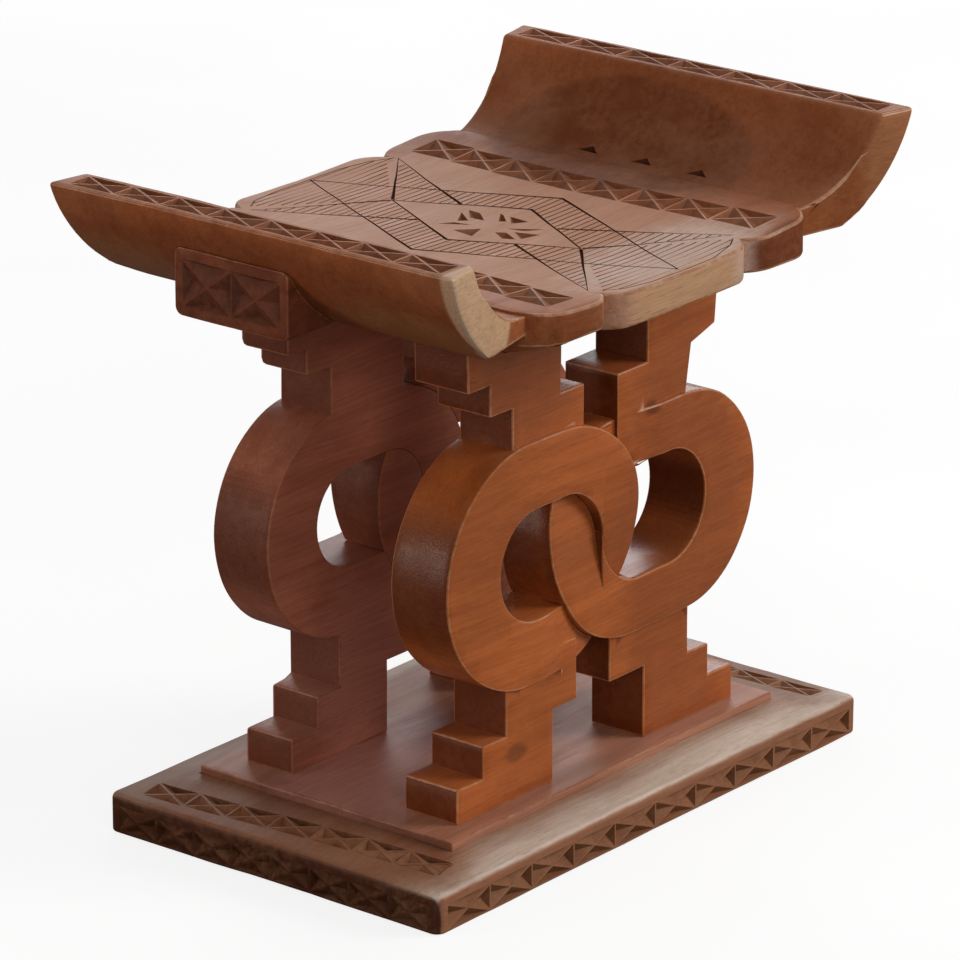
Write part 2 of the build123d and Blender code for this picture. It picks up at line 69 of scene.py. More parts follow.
# ---- Node sheets -----------------------------------------------------------------------
class Sheet:
    """A node tree being laid out, with short calls for the nodes that recur."""

    def __init__(self, tree: bpy.types.NodeTree) -> None:
        """Starts on a tree."""
        self.tree = tree

    def node(self, kind: str, feeds: dict | None = None, **settings: object) -> bpy.types.Node:
        """Adds one node.

        Args:
            kind: the node's type name.
            feeds: what goes into its inputs, by their names or places.
            settings: its plain properties.

        Returns:
            The new node.
        """
        made = self.tree.nodes.new(kind)
        for name, value in settings.items():
            setattr(made, name, value)
        for key, value in (feeds or {}).items():
            self.feed(made.inputs[key], value)
        return made

    def feed(self, socket: Socket, value: object) -> None:
        """Links a socket's source, or sets the socket where the value is plain.

        Args:
            socket: the input to feed.
            value: another node's output, or a plain number, vector or colour.
        """
        if isinstance(value, Socket):
            self.tree.links.new(value, socket)
        elif isinstance(value, tuple) and len(value) == 3 and socket.type == "RGBA":
            socket.default_value = (*value, 1.0)
        else:
            socket.default_value = value

    def group(self, tree: bpy.types.NodeTree, **feeds: object) -> dict:
        """Places a shared group, feeds its inputs and gives its outputs by name."""
        return self.node("ShaderNodeGroup", feeds, node_tree=tree).outputs

    def math(self, operation: str, *values: object, clamp: bool = False) -> Socket:
        """A math node's result."""
        feeds = dict(enumerate(values))
        return self.node("ShaderNodeMath", feeds, operation=operation, use_clamp=clamp).outputs[0]

    def times(self, first: object, second: object, clamp: bool = False) -> Socket:
        """Two values multiplied."""
        return self.math("MULTIPLY", first, second, clamp=clamp)

    def vector(self, operation: str, *values: object) -> Socket:
        """A vector math node's vector result."""
        feeds = dict(enumerate(values))
        return self.node("ShaderNodeVectorMath", feeds, operation=operation).outputs["Vector"]

    def apart(self, vector: Socket, axis: str) -> Socket:
        """One component of a vector."""
        return self.node("ShaderNodeSeparateXYZ", {0: vector}).outputs[axis]

    def together(self, **parts: object) -> Socket:
        """A vector from its components."""
        return self.node("ShaderNodeCombineXYZ", parts).outputs[0]

    def facing(self, axis: str) -> Socket:
        """How far the face itself points along an axis."""
        return self.apart(self.node("ShaderNodeNewGeometry").outputs["True Normal"], axis)

    def grey(self, value: Socket) -> Socket:
        """A value as a grey colour."""
        return self.node("ShaderNodeCombineColor", {0: value, 1: value, 2: value}).outputs[0]

    def noise(self, vector: object, scale: float, detail: float = 3.0,
              rough: float = 0.5) -> Socket:
        """A noise texture's value, by cells per unit, octaves and the finer octaves' share."""
        feeds = {"Vector": vector, "Scale": scale, "Detail": detail, "Roughness": rough}
        return self.node("ShaderNodeTexNoise", feeds).outputs[0]

    def log_noise(self, vector: object, along: float, across: float, detail: float = 3.0,
                  rough: float = 0.5) -> Socket:
        """A noise drawn out along the log.

        Args:
            vector: the coordinates.
            along: cells per metre along the log.
            across: cells per metre across it.
            detail: octaves.
            rough: how much the finer octaves count.

        Returns:
            The noise's value.
        """
        drawn = self.vector("MULTIPLY", vector, (along, across, across))
        return self.noise(drawn, 1.0, detail, rough)

    def fit(self, value: object, low: object, high: object, to_low: float = 0.0,
            to_high: float = 1.0) -> Socket:
        """A value mapped smoothly from one range to another.

        Args:
            value: the value to map.
            low: where the range starts.
            high: where the range ends.
            to_low: result at the start.
            to_high: result at the end.

        Returns:
            The mapped value.
        """
        feeds = {"Value": value, "From Min": low, "From Max": high, "To Min": to_low,
                 "To Max": to_high}
        return self.node("ShaderNodeMapRange", feeds, interpolation_type="SMOOTHSTEP").outputs[0]

    def finished(self, shapes: Socket, material: Socket) -> Socket:
        """Instances made real and given a material."""
        whole = self.node("GeometryNodeRealizeInstances", {0: shapes}).outputs[0]
        feeds = {"Geometry": whole, "Material": material}
        return self.node("GeometryNodeSetMaterial", feeds).outputs[0]

    def mix(self, share: object, first: object, second: object, blend: str = "MIX") -> Socket:
        """Two colours mixed, by the share of the second and the way they are mixed."""
        feeds = {0: share, 6: first, 7: second}
        return self.node("ShaderNodeMix", feeds, data_type="RGBA", blend_type=blend).outputs[2]


def new_tree(name: str, kind: str, inputs: dict[str, str],
             outputs: dict[str, str]) -> tuple[Sheet, dict, dict, dict]:
    """Starts a node tree with named sockets.

    Args:
        name: the tree's name.
        kind: "Shader" or "Geometry".
        inputs: kind of each input by its name, such as "Float".
        outputs: the same for the outputs.

    Returns:
        The sheet, its inputs by name, its outputs by name, and the inputs' identifiers by name.
    """
    tree = bpy.data.node_groups.new(name, f"{kind}NodeTree")
    keys = {}
    for label, sort in inputs.items():
        made = tree.interface.new_socket(label, in_out="INPUT", socket_type=f"NodeSocket{sort}")
        keys[label] = made.identifier
    for label, sort in outputs.items():
        tree.interface.new_socket(label, in_out="OUTPUT", socket_type=f"NodeSocket{sort}")
    sheet = Sheet(tree)
    given = {s.name: s for s in sheet.node("NodeGroupInput").outputs}
    out = {s.name: s for s in sheet.node("NodeGroupOutput").inputs}
    return sheet, given, out, keys


def new_material(name: str) -> tuple[Material, Sheet]:
    """Starts an empty material and its sheet."""
    material = bpy.data.materials.new(name)
    material.use_nodes = True
    material.node_tree.nodes.clear()
    return material, Sheet(material.node_tree)


# ---- Finishes ---------------------------------------------------------------------------
class WoodEffects:
    """The effects that every wood finish shares, each a shader group built once."""

    def __init__(self) -> None:
        """Builds the groups."""
        self.grain = self._grain()
        self.zones = self._zones()
        self.edges = self._edges()
        self.dust = self._dust()
        self.marks = self._marks()

    @staticmethod
    def _start(name: str, numbers: Sequence[str],
               outputs: Sequence[str]) -> tuple[Sheet, dict, dict]:
        """Starts a group that takes the coordinates and some numbers.

        Args:
            name: the group's name.
            numbers: names of its plain inputs.
            outputs: names of its values.

        Returns:
            The sheet, its inputs by name and its outputs by name.
        """
        inputs = {"Vector": "Vector", **dict.fromkeys(numbers, "Float")}
        return new_tree(name, "Shader", inputs, dict.fromkeys(outputs, "Float"))[:3]

    def _grain(self) -> bpy.types.NodeTree:
        """Grain along the log: fine fibres, growth streaks, broad figure and pores."""
        names = ("Fibres", "Streaks", "Figure", "Pores")
        sheet, given, out = self._start("wood_grain", (), names)
        point = given["Vector"]
        places = sheet.vector("MULTIPLY", point, (5.0, 9.0, 9.0))
        drift = sheet.node("ShaderNodeTexNoise", {"Vector": places, "Scale": 1.0, "Detail": 2.0})
        shift = sheet.vector("SUBTRACT", drift.outputs["Color"], (0.5, 0.5, 0.5))
        bent = sheet.vector("ADD", point, sheet.vector("MULTIPLY", shift, (0.021, 0.021, 0.021)))
        noises = ((14.0, 620.0, 4.0, 0.6), (3.0, 95.0, 3.0, 0.55), (7.0, 16.0, 3.0, 0.5),
                  (75.0, 1500.0, 1.0, 0.5))
        ranges = ((0.3, 0.7), (0.34, 0.68), (0.3, 0.7), (0.62, 0.74))
        for label, shape, (low, high) in zip(names, noises, ranges):
            sheet.feed(out[label], sheet.fit(sheet.log_noise(bent, *shape), low, high))
        return sheet.tree

    def _zones(self) -> bpy.types.NodeTree:
        """How far out in the log a point lies: pale sapwood beyond a wavy radius."""
        sheet, given, out = self._start("log_zones", ("Radius",), ("Sapwood",))
        point, radius, soft = given["Vector"], given["Radius"], 0.012
        up = sheet.math("SUBTRACT", sheet.apart(point, "Z"), LOG_HEIGHT)
        far = sheet.math("SQRT", sheet.math("ADD", sheet.math("POWER", sheet.apart(point, "Y"), 2.0),
                                            sheet.math("POWER", up, 2.0)))
        wavy = sheet.math("SUBTRACT", sheet.log_noise(point, 9.0, 26.0), 0.5)
        far = sheet.math("ADD", far, sheet.times(wavy, 0.03))
        sheet.feed(out["Sapwood"], sheet.fit(far, sheet.math("SUBTRACT", radius, soft),
                                             sheet.math("ADD", radius, soft)))
        return sheet.tree

    def _edges(self) -> bpy.types.NodeTree:
        """Where handling has rubbed the wood bare, broken up along the piece."""
        sheet, given, out = self._start("edge_wear", ("Share",), ("Rubbed",))
        fine = sheet.fit(sheet.noise(given["Vector"], 210.0, 3.0, 0.6), 0.3, 0.66)
        broad = sheet.fit(sheet.noise(given["Vector"], 38.0, 2.0), 0.3, 0.62)
        sheet.feed(out["Rubbed"], sheet.times(sheet.times(fine, broad), given["Share"], True))
        return sheet.tree

    def _dust(self) -> bpy.types.NodeTree:
        """Pale dust that settles on what faces up, in uneven patches."""
        sheet, given, out = self._start("settled_dust", ("Amount",), ("Mask",))
        upward = sheet.fit(sheet.facing("Z"), 0.3, 0.95)
        uneven = sheet.fit(sheet.noise(given["Vector"], 22.0, 5.0, 0.62), 0.32, 0.68)
        sheet.feed(out["Mask"], sheet.times(sheet.times(upward, uneven), given["Amount"], True))
        return sheet.tree

    def _marks(self) -> bpy.types.NodeTree:
        """Height of the adze and scraper marks."""
        sheet, given, out = self._start("tool_marks", ("Fibres",), ("Height",))
        places = sheet.vector("MULTIPLY", given["Vector"], (34.0, 75.0, 75.0))
        feeds = {"Vector": places, "Scale": 1.0, "Smoothness": 0.5}
        facets = sheet.node("ShaderNodeTexVoronoi", feeds, feature="SMOOTH_F1")
        swell = sheet.times(sheet.noise(given["Vector"], 45.0, 2.0), 0.5)
        total = sheet.math("ADD", sheet.times(facets.outputs["Distance"], 0.5),
                           sheet.times(given["Fibres"], 0.22))
        sheet.feed(out["Height"], sheet.math("ADD", total, swell))
        return sheet.tree


@dataclass(frozen=True)
class Patch:
    """A local patch of colour: an ellipsoid in which the wood turns to another colour. Some are
    stains, others are painted shade or painted light.
    """

    centre: Triple
    reach: Triple
    colour: Triple
    share: float
    softness: float = 0.5
    ragged: float = 0.35

    def mirrored(self, axis: int) -> tuple["Patch", "Patch"]:
        """The patch and its mirror image at the other end of an axis."""
        centre = tuple(-c if i == axis else c for i, c in enumerate(self.centre))
        return self, replace(self, centre=centre)

    def mask(self, sheet: Sheet, point: Socket) -> Socket:
        """Lays out how much of the patch's colour each place has.

        Args:
            sheet: the material's sheet.
            point: the coordinates.

        Returns:
            The mask.
        """
        away = sheet.vector("DIVIDE", sheet.vector("SUBTRACT", point, self.centre), self.reach)
        length = sheet.node("ShaderNodeVectorMath", {0: away}, operation="LENGTH")
        uneven = sheet.math("SUBTRACT", sheet.log_noise(point, 60.0, 110.0, 4.0, 0.6), 0.5)
        reach = sheet.math("ADD", length.outputs["Value"],
                           sheet.times(uneven, 2.0 * self.ragged))
        inside = sheet.fit(reach, 1.0 + self.softness / 2, 1.0 - self.softness / 2)
        return sheet.times(inside, self.share)


@dataclass(frozen=True)
class WoodFinish:
    """One finish of the carved wood."""

    name: str
    heart: Triple
    streak: Triple
    sapwood: Triple
    sapwood_radius: float = 0.2
    sapwood_share: float = 0.0
    rubbed: Triple = (0.5, 0.26, 0.15)
    rubbed_share: float = 0.15
    dust: Triple = (0.5, 0.33, 0.25)
    dust_share: float = 0.15
    roughness: float = 0.55
    gloss: float = 0.5
    marks: float = 0.25
    # darkens the faces turned along X: darker end grain, and painted shade as well
    end_grain_and_shade: float = 0.0
    patches: tuple[Patch, ...] = ()

    def dress(self, effects: WoodEffects) -> Material:
        """Makes the material with the shared wood groups."""
        material, sheet = new_material(self.name)
        point = sheet.node("ShaderNodeTexCoord").outputs["Object"]
        grain = sheet.group(effects.grain, Vector=point)
        sapwood = sheet.group(effects.zones, Vector=point, Radius=self.sapwood_radius)["Sapwood"]
        rubbed = sheet.group(effects.edges, Vector=point, Share=self.rubbed_share)["Rubbed"]
        dust = sheet.group(effects.dust, Vector=point, Amount=self.dust_share)["Mask"]
        height = sheet.group(effects.marks, Vector=point, Fibres=grain["Fibres"])["Height"]

        colour = sheet.mix(sheet.times(grain["Streaks"], 0.75), self.heart, self.streak)
        figure = sheet.fit(grain["Figure"], 0.0, 1.0, 0.86, 1.12)
        colour = sheet.mix(1.0, colour, sheet.grey(figure), "MULTIPLY")
        colour = sheet.mix(sheet.times(sapwood, self.sapwood_share), colour, self.sapwood)
        for patch in self.patches:
            colour = sheet.mix(patch.mask(sheet, point), colour, patch.colour)
        gloss = self.gloss
        if self.end_grain_and_shade:  # end grain takes up more colour, and the darkening of faces turned along X is also painted shade
            across = sheet.fit(sheet.math("ABSOLUTE", sheet.facing("X")), 0.75, 0.99)
            end = sheet.times(across, self.end_grain_and_shade)
            end_colour = tuple(share * part for share, part in zip(END_GRAIN_AND_SHADE_TINT, self.streak))
            colour = sheet.mix(end, colour, end_colour)
            gloss = sheet.fit(end, 0.0, 1.0, self.gloss, 0.8 * self.gloss)
        fibres = sheet.fit(grain["Fibres"], 0.0, 1.0, 1.07, 0.9)
        colour = sheet.mix(1.0, colour, sheet.grey(fibres), "MULTIPLY")
        colour = sheet.mix(sheet.times(grain["Pores"], 0.35), colour,
                           tuple(0.35 * part for part in self.streak))
        colour = sheet.mix(rubbed, colour, self.rubbed)
        colour = sheet.mix(dust, colour, self.dust)

        rough = sheet.fit(grain["Streaks"], 0.0, 1.0, self.roughness - 0.02,
                          self.roughness + 0.03)
        rough = sheet.math("ADD", rough, sheet.times(dust, 0.2))
        rough = sheet.math("SUBTRACT", rough, sheet.times(rubbed, 0.1), clamp=True)
        bump = sheet.node("ShaderNodeBump", {"Strength": self.marks, "Distance": 1.2 * MM,
                                             "Height": height})
        shader = sheet.node("ShaderNodeBsdfPrincipled", {
            "Base Color": colour, "Roughness": rough, "IOR": 1.4, "Specular IOR Level": gloss,
            "Normal": bump.outputs["Normal"]})
        sheet.node("ShaderNodeOutputMaterial", {"Surface": shader.outputs[0]})
        return material


# ---- Work on a blank --------------------------------------------------------------------
@contextmanager
def opened(mesh: bpy.types.Mesh) -> Iterator[bmesh.types.BMesh]:
    """Opens a mesh for work and writes the work back at the end."""
    work = bmesh.new()
    work.from_mesh(mesh)
    yield work
    work.to_mesh(mesh)
    work.free()


def apply_modifier(piece: bpy.types.Object) -> None:
    """Turns a piece's modifiers into plain mesh and removes them."""
    graph = bpy.context.evaluated_depsgraph_get()
    graph.update()
    done = bpy.data.meshes.new_from_object(piece.evaluated_get(graph), depsgraph=graph)
    piece.modifiers.clear()
    old, piece.data = piece.data, done
    bpy.data.meshes.remove(old)


def add_object(name: str, mesh: bpy.types.Mesh) -> bpy.types.Object:
    """Links a mesh into the scene as an object at the origin."""
    made = bpy.data.objects.new(name, mesh)
    bpy.context.scene.collection.objects.link(made)
    return made


def drop_object(piece: bpy.types.Object) -> None:
    """Removes a helper object and its mesh."""
    mesh = piece.data
    bpy.data.objects.remove(piece)
    bpy.data.meshes.remove(mesh)


def closed_volume(mesh: bpy.types.Mesh) -> float:
    """The volume of a closed mesh in cubic metres, or 0 where it isn't closed."""
    work = bmesh.new()
    work.from_mesh(mesh)
    closed = all(edge.is_manifold for edge in work.edges)
    volume = work.calc_volume() if closed else 0.0
    work.free()
    return volume


class Blank:
    """A piece's mesh while it is worked: rounded, carved, sliced and worn."""

    merge_within = 2e-6  # metres
    flat_within = math.radians(0.6)
    round_from = math.radians(28)  # how far an edge has to turn before it is rounded
    choose_from = math.radians(40)  # the same for chosen edges
    sharp_from = math.radians(24)
    first_cut = 0.37  # of the pitch, from the piece's low end
    room_share = 0.4  # how much of the room beside an edge its rounding may take
    in_line = 0.9  # cosine from which two edges count as one line
    least_left = 0.95  # of the volume, after a sound cut

    def __init__(self, node: str, name: str) -> None:
        """Takes a merged copy of a node's mesh.

        Args:
            node: the node it stands for.
            name: the piece's name.
        """
        self.node = node
        work = bmesh.new()
        work.from_mesh(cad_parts[node].data)
        bmesh.ops.remove_doubles(work, verts=work.verts, dist=self.merge_within)
        bmesh.ops.dissolve_limit(work, angle_limit=self.flat_within, verts=work.verts,
                                 edges=work.edges, delimit=set())
        mesh = bpy.data.meshes.new(name)
        work.to_mesh(mesh)
        work.free()
        self.piece = add_object(name, mesh)

    def paint(self, *materials: Material) -> None:
        """Gives the piece its surface and the finish of its rounded edges before it is worked; that
        finish is partly wear and partly a painted highlight.
        """
        for material in materials:
            self.piece.data.materials.append(material)

    def slice(self, pitch: float) -> None:
        """Adds cuts across the piece, a pitch apart, so that long faces can be worn unevenly."""
        low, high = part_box(self.node)
        with opened(self.piece.data) as work:
            for axis in range(3):
                normal = Vector((axis == 0, axis == 1, axis == 2))
                place = low[axis] + self.first_cut * pitch
                while place < high[axis]:
                    everything = work.verts[:] + work.edges[:] + work.faces[:]
                    bmesh.ops.bisect_plane(work, geom=everything, dist=1e-7,
                                           plane_co=normal * place, plane_no=normal)
                    place += pitch

    def round_edges(self, width: float, segments: int) -> None:
        """Rounds the outward edges outside the carving, less where there is little room.

        Args:
            width: in metres.
            segments: faces across the rounding.
        """
        with opened(self.piece.data) as work:
            weights = work.edges.layers.float.new("bevel_weight_edge")
            for edge in work.edges:
                turned = len(edge.link_faces) == 2 and edge.calc_face_angle_signed(0.0)
                carved = any(face.material_index > WORN_AND_HIGHLIT_EDGE for face in edge.link_faces)
                if turned > self.round_from and not carved:
                    edge[weights] = min(1.0, self.room_share * self._room(edge) / width)
        made = self.piece.modifiers.new("round", "BEVEL")
        made.width = width
        made.segments = segments
        made.limit_method = "WEIGHT"
        made.use_clamp_overlap = False
        made.material = WORN_AND_HIGHLIT_EDGE
        apply_modifier(self.piece)

    def _room(self, edge: bmesh.types.BMEdge) -> float:
        """The length in metres of the shortest edge that meets an edge at a clear angle."""
        along = (edge.verts[1].co - edge.verts[0].co).normalized()
        lengths = [1.0]
        for vertex in edge.verts:
            for other in vertex.link_edges:
                run = other.verts[1].co - other.verts[0].co
                if other is not edge and abs(run.normalized().dot(along)) < self.in_line:
                    lengths.append(run.length)
        return min(lengths)

    def round_chosen(self, choose: Callable[[Vector], bool], width: float,
                     segments: int = 4) -> None:
        """Rounds the outward edges that a test picks by their two ends.

        Args:
            choose: says whether an edge that ends at a point may be rounded.
            width: in metres.
            segments: faces across the rounding.
        """
        with opened(self.piece.data) as work:
            picked = [e for e in work.edges
                      if len(e.link_faces) == 2 and e.calc_face_angle_signed(0.0) > self.choose_from
                      and all(choose(vertex.co) for vertex in e.verts)]
            bmesh.ops.bevel(work, geom=picked, offset=width, offset_type="OFFSET", profile=0.5,
                            segments=segments, affect="EDGES", clamp_overlap=False)
            log.info("%s: %d edges rounded by %.1f mm", self.piece.name, len(picked), width / MM)

    def carve(self, cutter: bpy.types.Object) -> None:
        """Cuts a tool's closed shapes out of the piece and drops the tool.

        A cut that would leave the piece open is made again with the tool moved a hair.
        """
        before = self.piece.data.copy()
        volume = closed_volume(before)
        for hair in TOOL_SHIFTS:
            cutter.data.transform(Matrix.Translation(hair))
            made = self.piece.modifiers.new("carve", "BOOLEAN")
            made.operation = "DIFFERENCE"
            made.solver = "EXACT"
            made.material_mode = "TRANSFER"
            made.object = cutter
            apply_modifier(self.piece)
            if self.least_left * volume < closed_volume(self.piece.data) < volume:
                break
            log.info("%s: %s is moved a hair and cuts again", self.piece.name, cutter.name)
            spoilt, self.piece.data = self.piece.data, before.copy()
            bpy.data.meshes.remove(spoilt)
        bpy.data.meshes.remove(before)
        drop_object(cutter)

    def wear(self, depth: float, bend: float) -> None:
        """Moves the surface a little, as a hand-cut surface wanders.

        Args:
            depth: how far the fine wandering goes at most, in metres.
            bend: the same for slow bends.
        """
        noise.seed_set(WEAR_SEED)
        low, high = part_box(self.node)
        for vertex in self.piece.data.vertices:
            start = vertex.co.copy()
            fine = noise.noise_vector(start * WEAR_CELLS * 4.0)
            slow = noise.noise_vector(start * WEAR_CELLS)
            moved = start + fine * depth + slow * bend
            vertex.co = [min(max(moved[i], low[i]), high[i]) for i in range(3)]

    def hand_over(self) -> bpy.types.Object:
        """Shades the piece, hangs it from the root body, hides its node and gives it."""
        mesh = self.piece.data
        with opened(mesh) as work:
            bmesh.ops.dissolve_degenerate(work, dist=1e-6, edges=work.edges)
        mesh.shade_smooth()
        mesh.set_sharp_from_angle(angle=self.sharp_from)
        for face in mesh.polygons:
            if face.material_index > WORN_AND_HIGHLIT_EDGE:
                face.use_smooth = False
        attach(self.piece, "root")
        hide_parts(self.node)
        log.info("%s: %d faces", self.piece.name, len(mesh.polygons))
        return self.piece

    def complete(self, slot: str, width: float, pitch: float, depth: float = 0.3 * MM,
                 bend: float = 0.7 * MM, segments: int = 2) -> bpy.types.Object:
        """Rounds, slices, wears and hands over the piece.

        Args:
            slot: the record's material slot; not used.
            width: of the rounded edges, in metres.
            pitch: distance between the cuts across it.
            depth: of the fine wandering.
            bend: of the slow bends.
            segments: faces across the rounding.

        Returns:
            The finished object.
        """
        self.round_edges(width, segments)
        self.slice(pitch)
        self.wear(depth, bend)
        return self.hand_over()


# ---- Carving tools ----------------------------------------------------------------------
def run_tree(piece: bpy.types.Object, tree: bpy.types.NodeTree, keys: dict,
             values: dict[str, object]) -> None:
    """Runs a geometry tree on a piece and keeps the result as plain mesh.

    Args:
        piece: what the tree works on.
        tree: the tree.
        keys: identifiers of its inputs by name.
        values: what goes into them, by name.
    """
    made = piece.modifiers.new(tree.name, "NODES")
    made.node_group = tree
    for label, value in values.items():
        made[keys[label]] = value
    apply_modifier(piece)


def pit_tool(name: str, pits: Iterable[tuple[Sequence[Point], Point]],
             depth: float) -> bpy.types.Object:
    """Makes closed cutters for pointed pits, laid out flat.

    Args:
        name: the object's name.
        pits: each pit's outline and the place of its deepest point.
        depth: how deep that is.

    Returns:
        The cutters as one object.
    """
    work = bmesh.new()
    for outline, deepest in pits:
        top = [work.verts.new((x, y, TOOL_RISE)) for x, y in outline]
        rim = [work.verts.new((x, y, TOOL_LIFT)) for x, y in outline]
        deep = work.verts.new((*deepest, -depth))
        work.faces.new(top)
        for i in range(len(rim)):
            j = (i + 1) % len(rim)
            work.faces.new((top[i], rim[i], rim[j], top[j]))
            work.faces.new((rim[i], deep, rim[j]))
    bmesh.ops.recalc_face_normals(work, faces=work.faces)
    mesh = bpy.data.meshes.new(name)
    work.to_mesh(mesh)
    work.free()
    return add_object(name, mesh)


class Corner(Enum):
    """Which triangle of a cell a chip fills, as its turn in quarter circles."""

    NEAR = 0
    RIGHT = 1
    FAR = 2
    LEFT = 3


@dataclass(frozen=True)
class Chip:
    """A three-sided pit between two corners of a cell and its middle."""

    base: float
    reach: float
    ridge: float
    depth: float
    heel: float
    margin: float = 0.0

    def make(self, name: str) -> bpy.types.Object:
        """Makes the closed cutter, its long side towards -Y and its tip at the origin."""
        slope = self.base / 2 / self.reach
        tip = -self.ridge / 2 / math.sin(math.atan(slope))
        foot = -self.reach + self.margin
        half = (tip - foot) * slope
        outline = ((-half, foot), (half, foot), (0.0, tip))
        return pit_tool(name, [(outline, (0.0, foot + self.heel * (tip - foot)))], self.depth)


@dataclass(frozen=True)
class Band:
    """A row of carved cells: flat sizes, and how it lies on the piece."""

    cells: int
    length: float
    width: float
    depth: float
    place: Place
    seed: int
    ridge: float = 0.9 * MM
    heel: float = 0.24
    bow: float = 0.0
    uneven: float = 0.03


class ChipRow:
    """Geometry Nodes tree that sets four chips in every cell of a row."""

    def __init__(self) -> None:
        """Builds the tree."""
        self.sheet, self.given, out, self.keys = new_tree("chip_row", "Geometry", {
            "Geometry": "Geometry", "Long chip": "Object", "Side chip": "Object", "Cells": "Int",
            "Cell length": "Float", "Bow": "Float", "Uneven": "Float", "Seed": "Int",
            "Finish": "Material"}, {"Geometry": "Geometry"})
        sheet, given = self.sheet, self.given
        last = sheet.math("SUBTRACT", given["Cells"], 1.0)
        first = sheet.times(sheet.times(last, given["Cell length"]), -0.5)
        line = sheet.node("GeometryNodeMeshLine", {
            "Count": given["Cells"], "Start Location": sheet.together(X=first),
            "Offset": sheet.together(X=given["Cell length"])}, mode="OFFSET")
        bowed = self._bow(line.outputs["Mesh"])
        joined = sheet.node("GeometryNodeJoinGeometry")
        for corner in Corner:
            sheet.feed(joined.inputs[0], self._chips(corner, bowed))
        sheet.feed(out["Geometry"], sheet.finished(joined.outputs[0], given["Finish"]))

    def _chips(self, corner: Corner, points: Socket) -> Socket:
        """Sets one chip of every cell, a little uneven in size and turn.

        Args:
            corner: which chip of the cell.
            points: one point in the middle of each cell.

        Returns:
            The chips as instances.
        """
        sheet = self.sheet
        long_side = corner in (Corner.NEAR, Corner.FAR)
        chip = sheet.node("GeometryNodeObjectInfo",
                          {"Object": self.given["Long chip" if long_side else "Side chip"]})
        grown = sheet.math("MINIMUM", self._random(corner.value, 1.0), 1.0)
        turn = sheet.times(self._random(corner.value + 10, 0.0), 0.35)
        angle = sheet.math("ADD", turn, corner.value * math.pi / 2)
        deeper = sheet.math("MAXIMUM", self._random(corner.value + 20, 1.02, 3.0), 1.0)
        return sheet.node("GeometryNodeInstanceOnPoints", {
            "Points": points, "Instance": chip.outputs["Geometry"],
            "Rotation": sheet.together(Z=angle),
            "Scale": sheet.together(X=grown, Y=grown, Z=deeper)}).outputs["Instances"]

    def _bow(self, points: Socket) -> Socket:
        """Bends the ends of the row sideways.

        Args:
            points: one point in the middle of each cell.

        Returns:
            The moved points.
        """
        sheet = self.sheet
        along = sheet.apart(sheet.node("GeometryNodeInputPosition").outputs[0], "X")
        half = sheet.times(sheet.times(self.given["Cells"], 0.5), self.given["Cell length"])
        share = sheet.math("ABSOLUTE", sheet.math("DIVIDE", along, half))
        aside = sheet.times(self.given["Bow"], sheet.math("POWER", share, 3.0))
        return sheet.node("GeometryNodeSetPosition", {
            "Geometry": points, "Offset": sheet.together(Y=aside)}).outputs[0]

    def _random(self, offset: int, middle: float, spread: float = 1.0) -> Socket:
        """A seeded random number around a middle value.

        Args:
            offset: added to the seed.
            middle: the middle value.
            spread: how many times the row's unevenness it may differ.

        Returns:
            The number's socket.
        """
        sheet = self.sheet
        reach = sheet.times(self.given["Uneven"], spread)
        return sheet.node("FunctionNodeRandomValue", {
            2: sheet.math("SUBTRACT", middle, reach), 3: sheet.math("ADD", middle, reach),
            "Seed": sheet.math("ADD", self.given["Seed"], float(offset))},
            data_type="FLOAT").outputs[1]

    def lay(self, name: str, band: Band, finish: Material) -> bpy.types.Object:
        """Makes the chips of one band, in place on the piece.

        Args:
            name: the cutter's name.
            band: the band to lay out.
            finish: material of the cut faces.

        Returns:
            The cutter.
        """
        cell = band.length / band.cells
        long_chip = Chip(cell, band.width / 2, band.ridge, band.depth, band.heel).make("long_chip")
        side_chip = Chip(band.width, cell / 2, band.ridge, band.depth, band.heel,
                         margin=band.ridge / 2).make("side_chip")
        piece = add_object(name, bpy.data.meshes.new(name))
        run_tree(piece, self.sheet.tree, self.keys, {
            "Long chip": long_chip, "Side chip": side_chip, "Cells": band.cells,
            "Cell length": cell, "Bow": band.bow, "Uneven": band.uneven, "Seed": band.seed,
            "Finish": finish})
        drop_object(long_chip)
        drop_object(side_chip)
        place_mesh(piece, band.place)
        return piece


def lie_on(origin: Sequence[float], along: Sequence[float], outwards: Sequence[float],
           turn: float = 0.0) -> Place:
    """Gives the place of flat points that lie on a plane.

    Args:
        origin: where the flat origin goes.
        along: direction of the flat X.
        outwards: direction out of the wood.
        turn: turns the flat X and Y about the outward direction, in degrees.

    Returns:
        The function that places a point.
    """
    up = Vector(outwards).normalized()
    right = Vector(along).normalized()
    right.rotate(Quaternion(up, math.radians(turn)))
    across = up.cross(right)
    start = Vector(origin)
    return lambda point: start + right * point.x + across * point.y + up * point.z


def turn_outwards(work: bmesh.types.BMesh) -> None:
    """Turns each closed shape's faces outwards, by the sign of its volume.

    Args:
        work: closed shapes whose own faces already agree with each other.
    """
    left = set(work.faces)
    while left:
        shape, found = set(), [next(iter(left))]
        while found:
            face = found.pop()
            if face not in shape:
                shape.add(face)
                found.extend(other for edge in face.edges for other in edge.link_faces)
        left -= shape
        volume = sum(face.verts[0].co.dot(face.normal) * face.calc_area() for face in shape)
        if volume < 0:
            bmesh.ops.reverse_faces(work, faces=list(shape))


def place_mesh(piece: bpy.types.Object, place: Place) -> None:
    """Moves a flat cutter onto its surface and turns its faces outwards.

    Args:
        piece: the cutter, laid out flat.
        place: gives the place of each flat point.
    """
    with opened(piece.data) as work:
        bmesh.ops.remove_doubles(work, verts=work.verts, dist=1e-7)
        for vertex in work.verts:
            vertex.co = place(vertex.co.copy())
        bmesh.ops.recalc_face_normals(work, faces=work.faces)
        work.normal_update()
        turn_outwards(work)


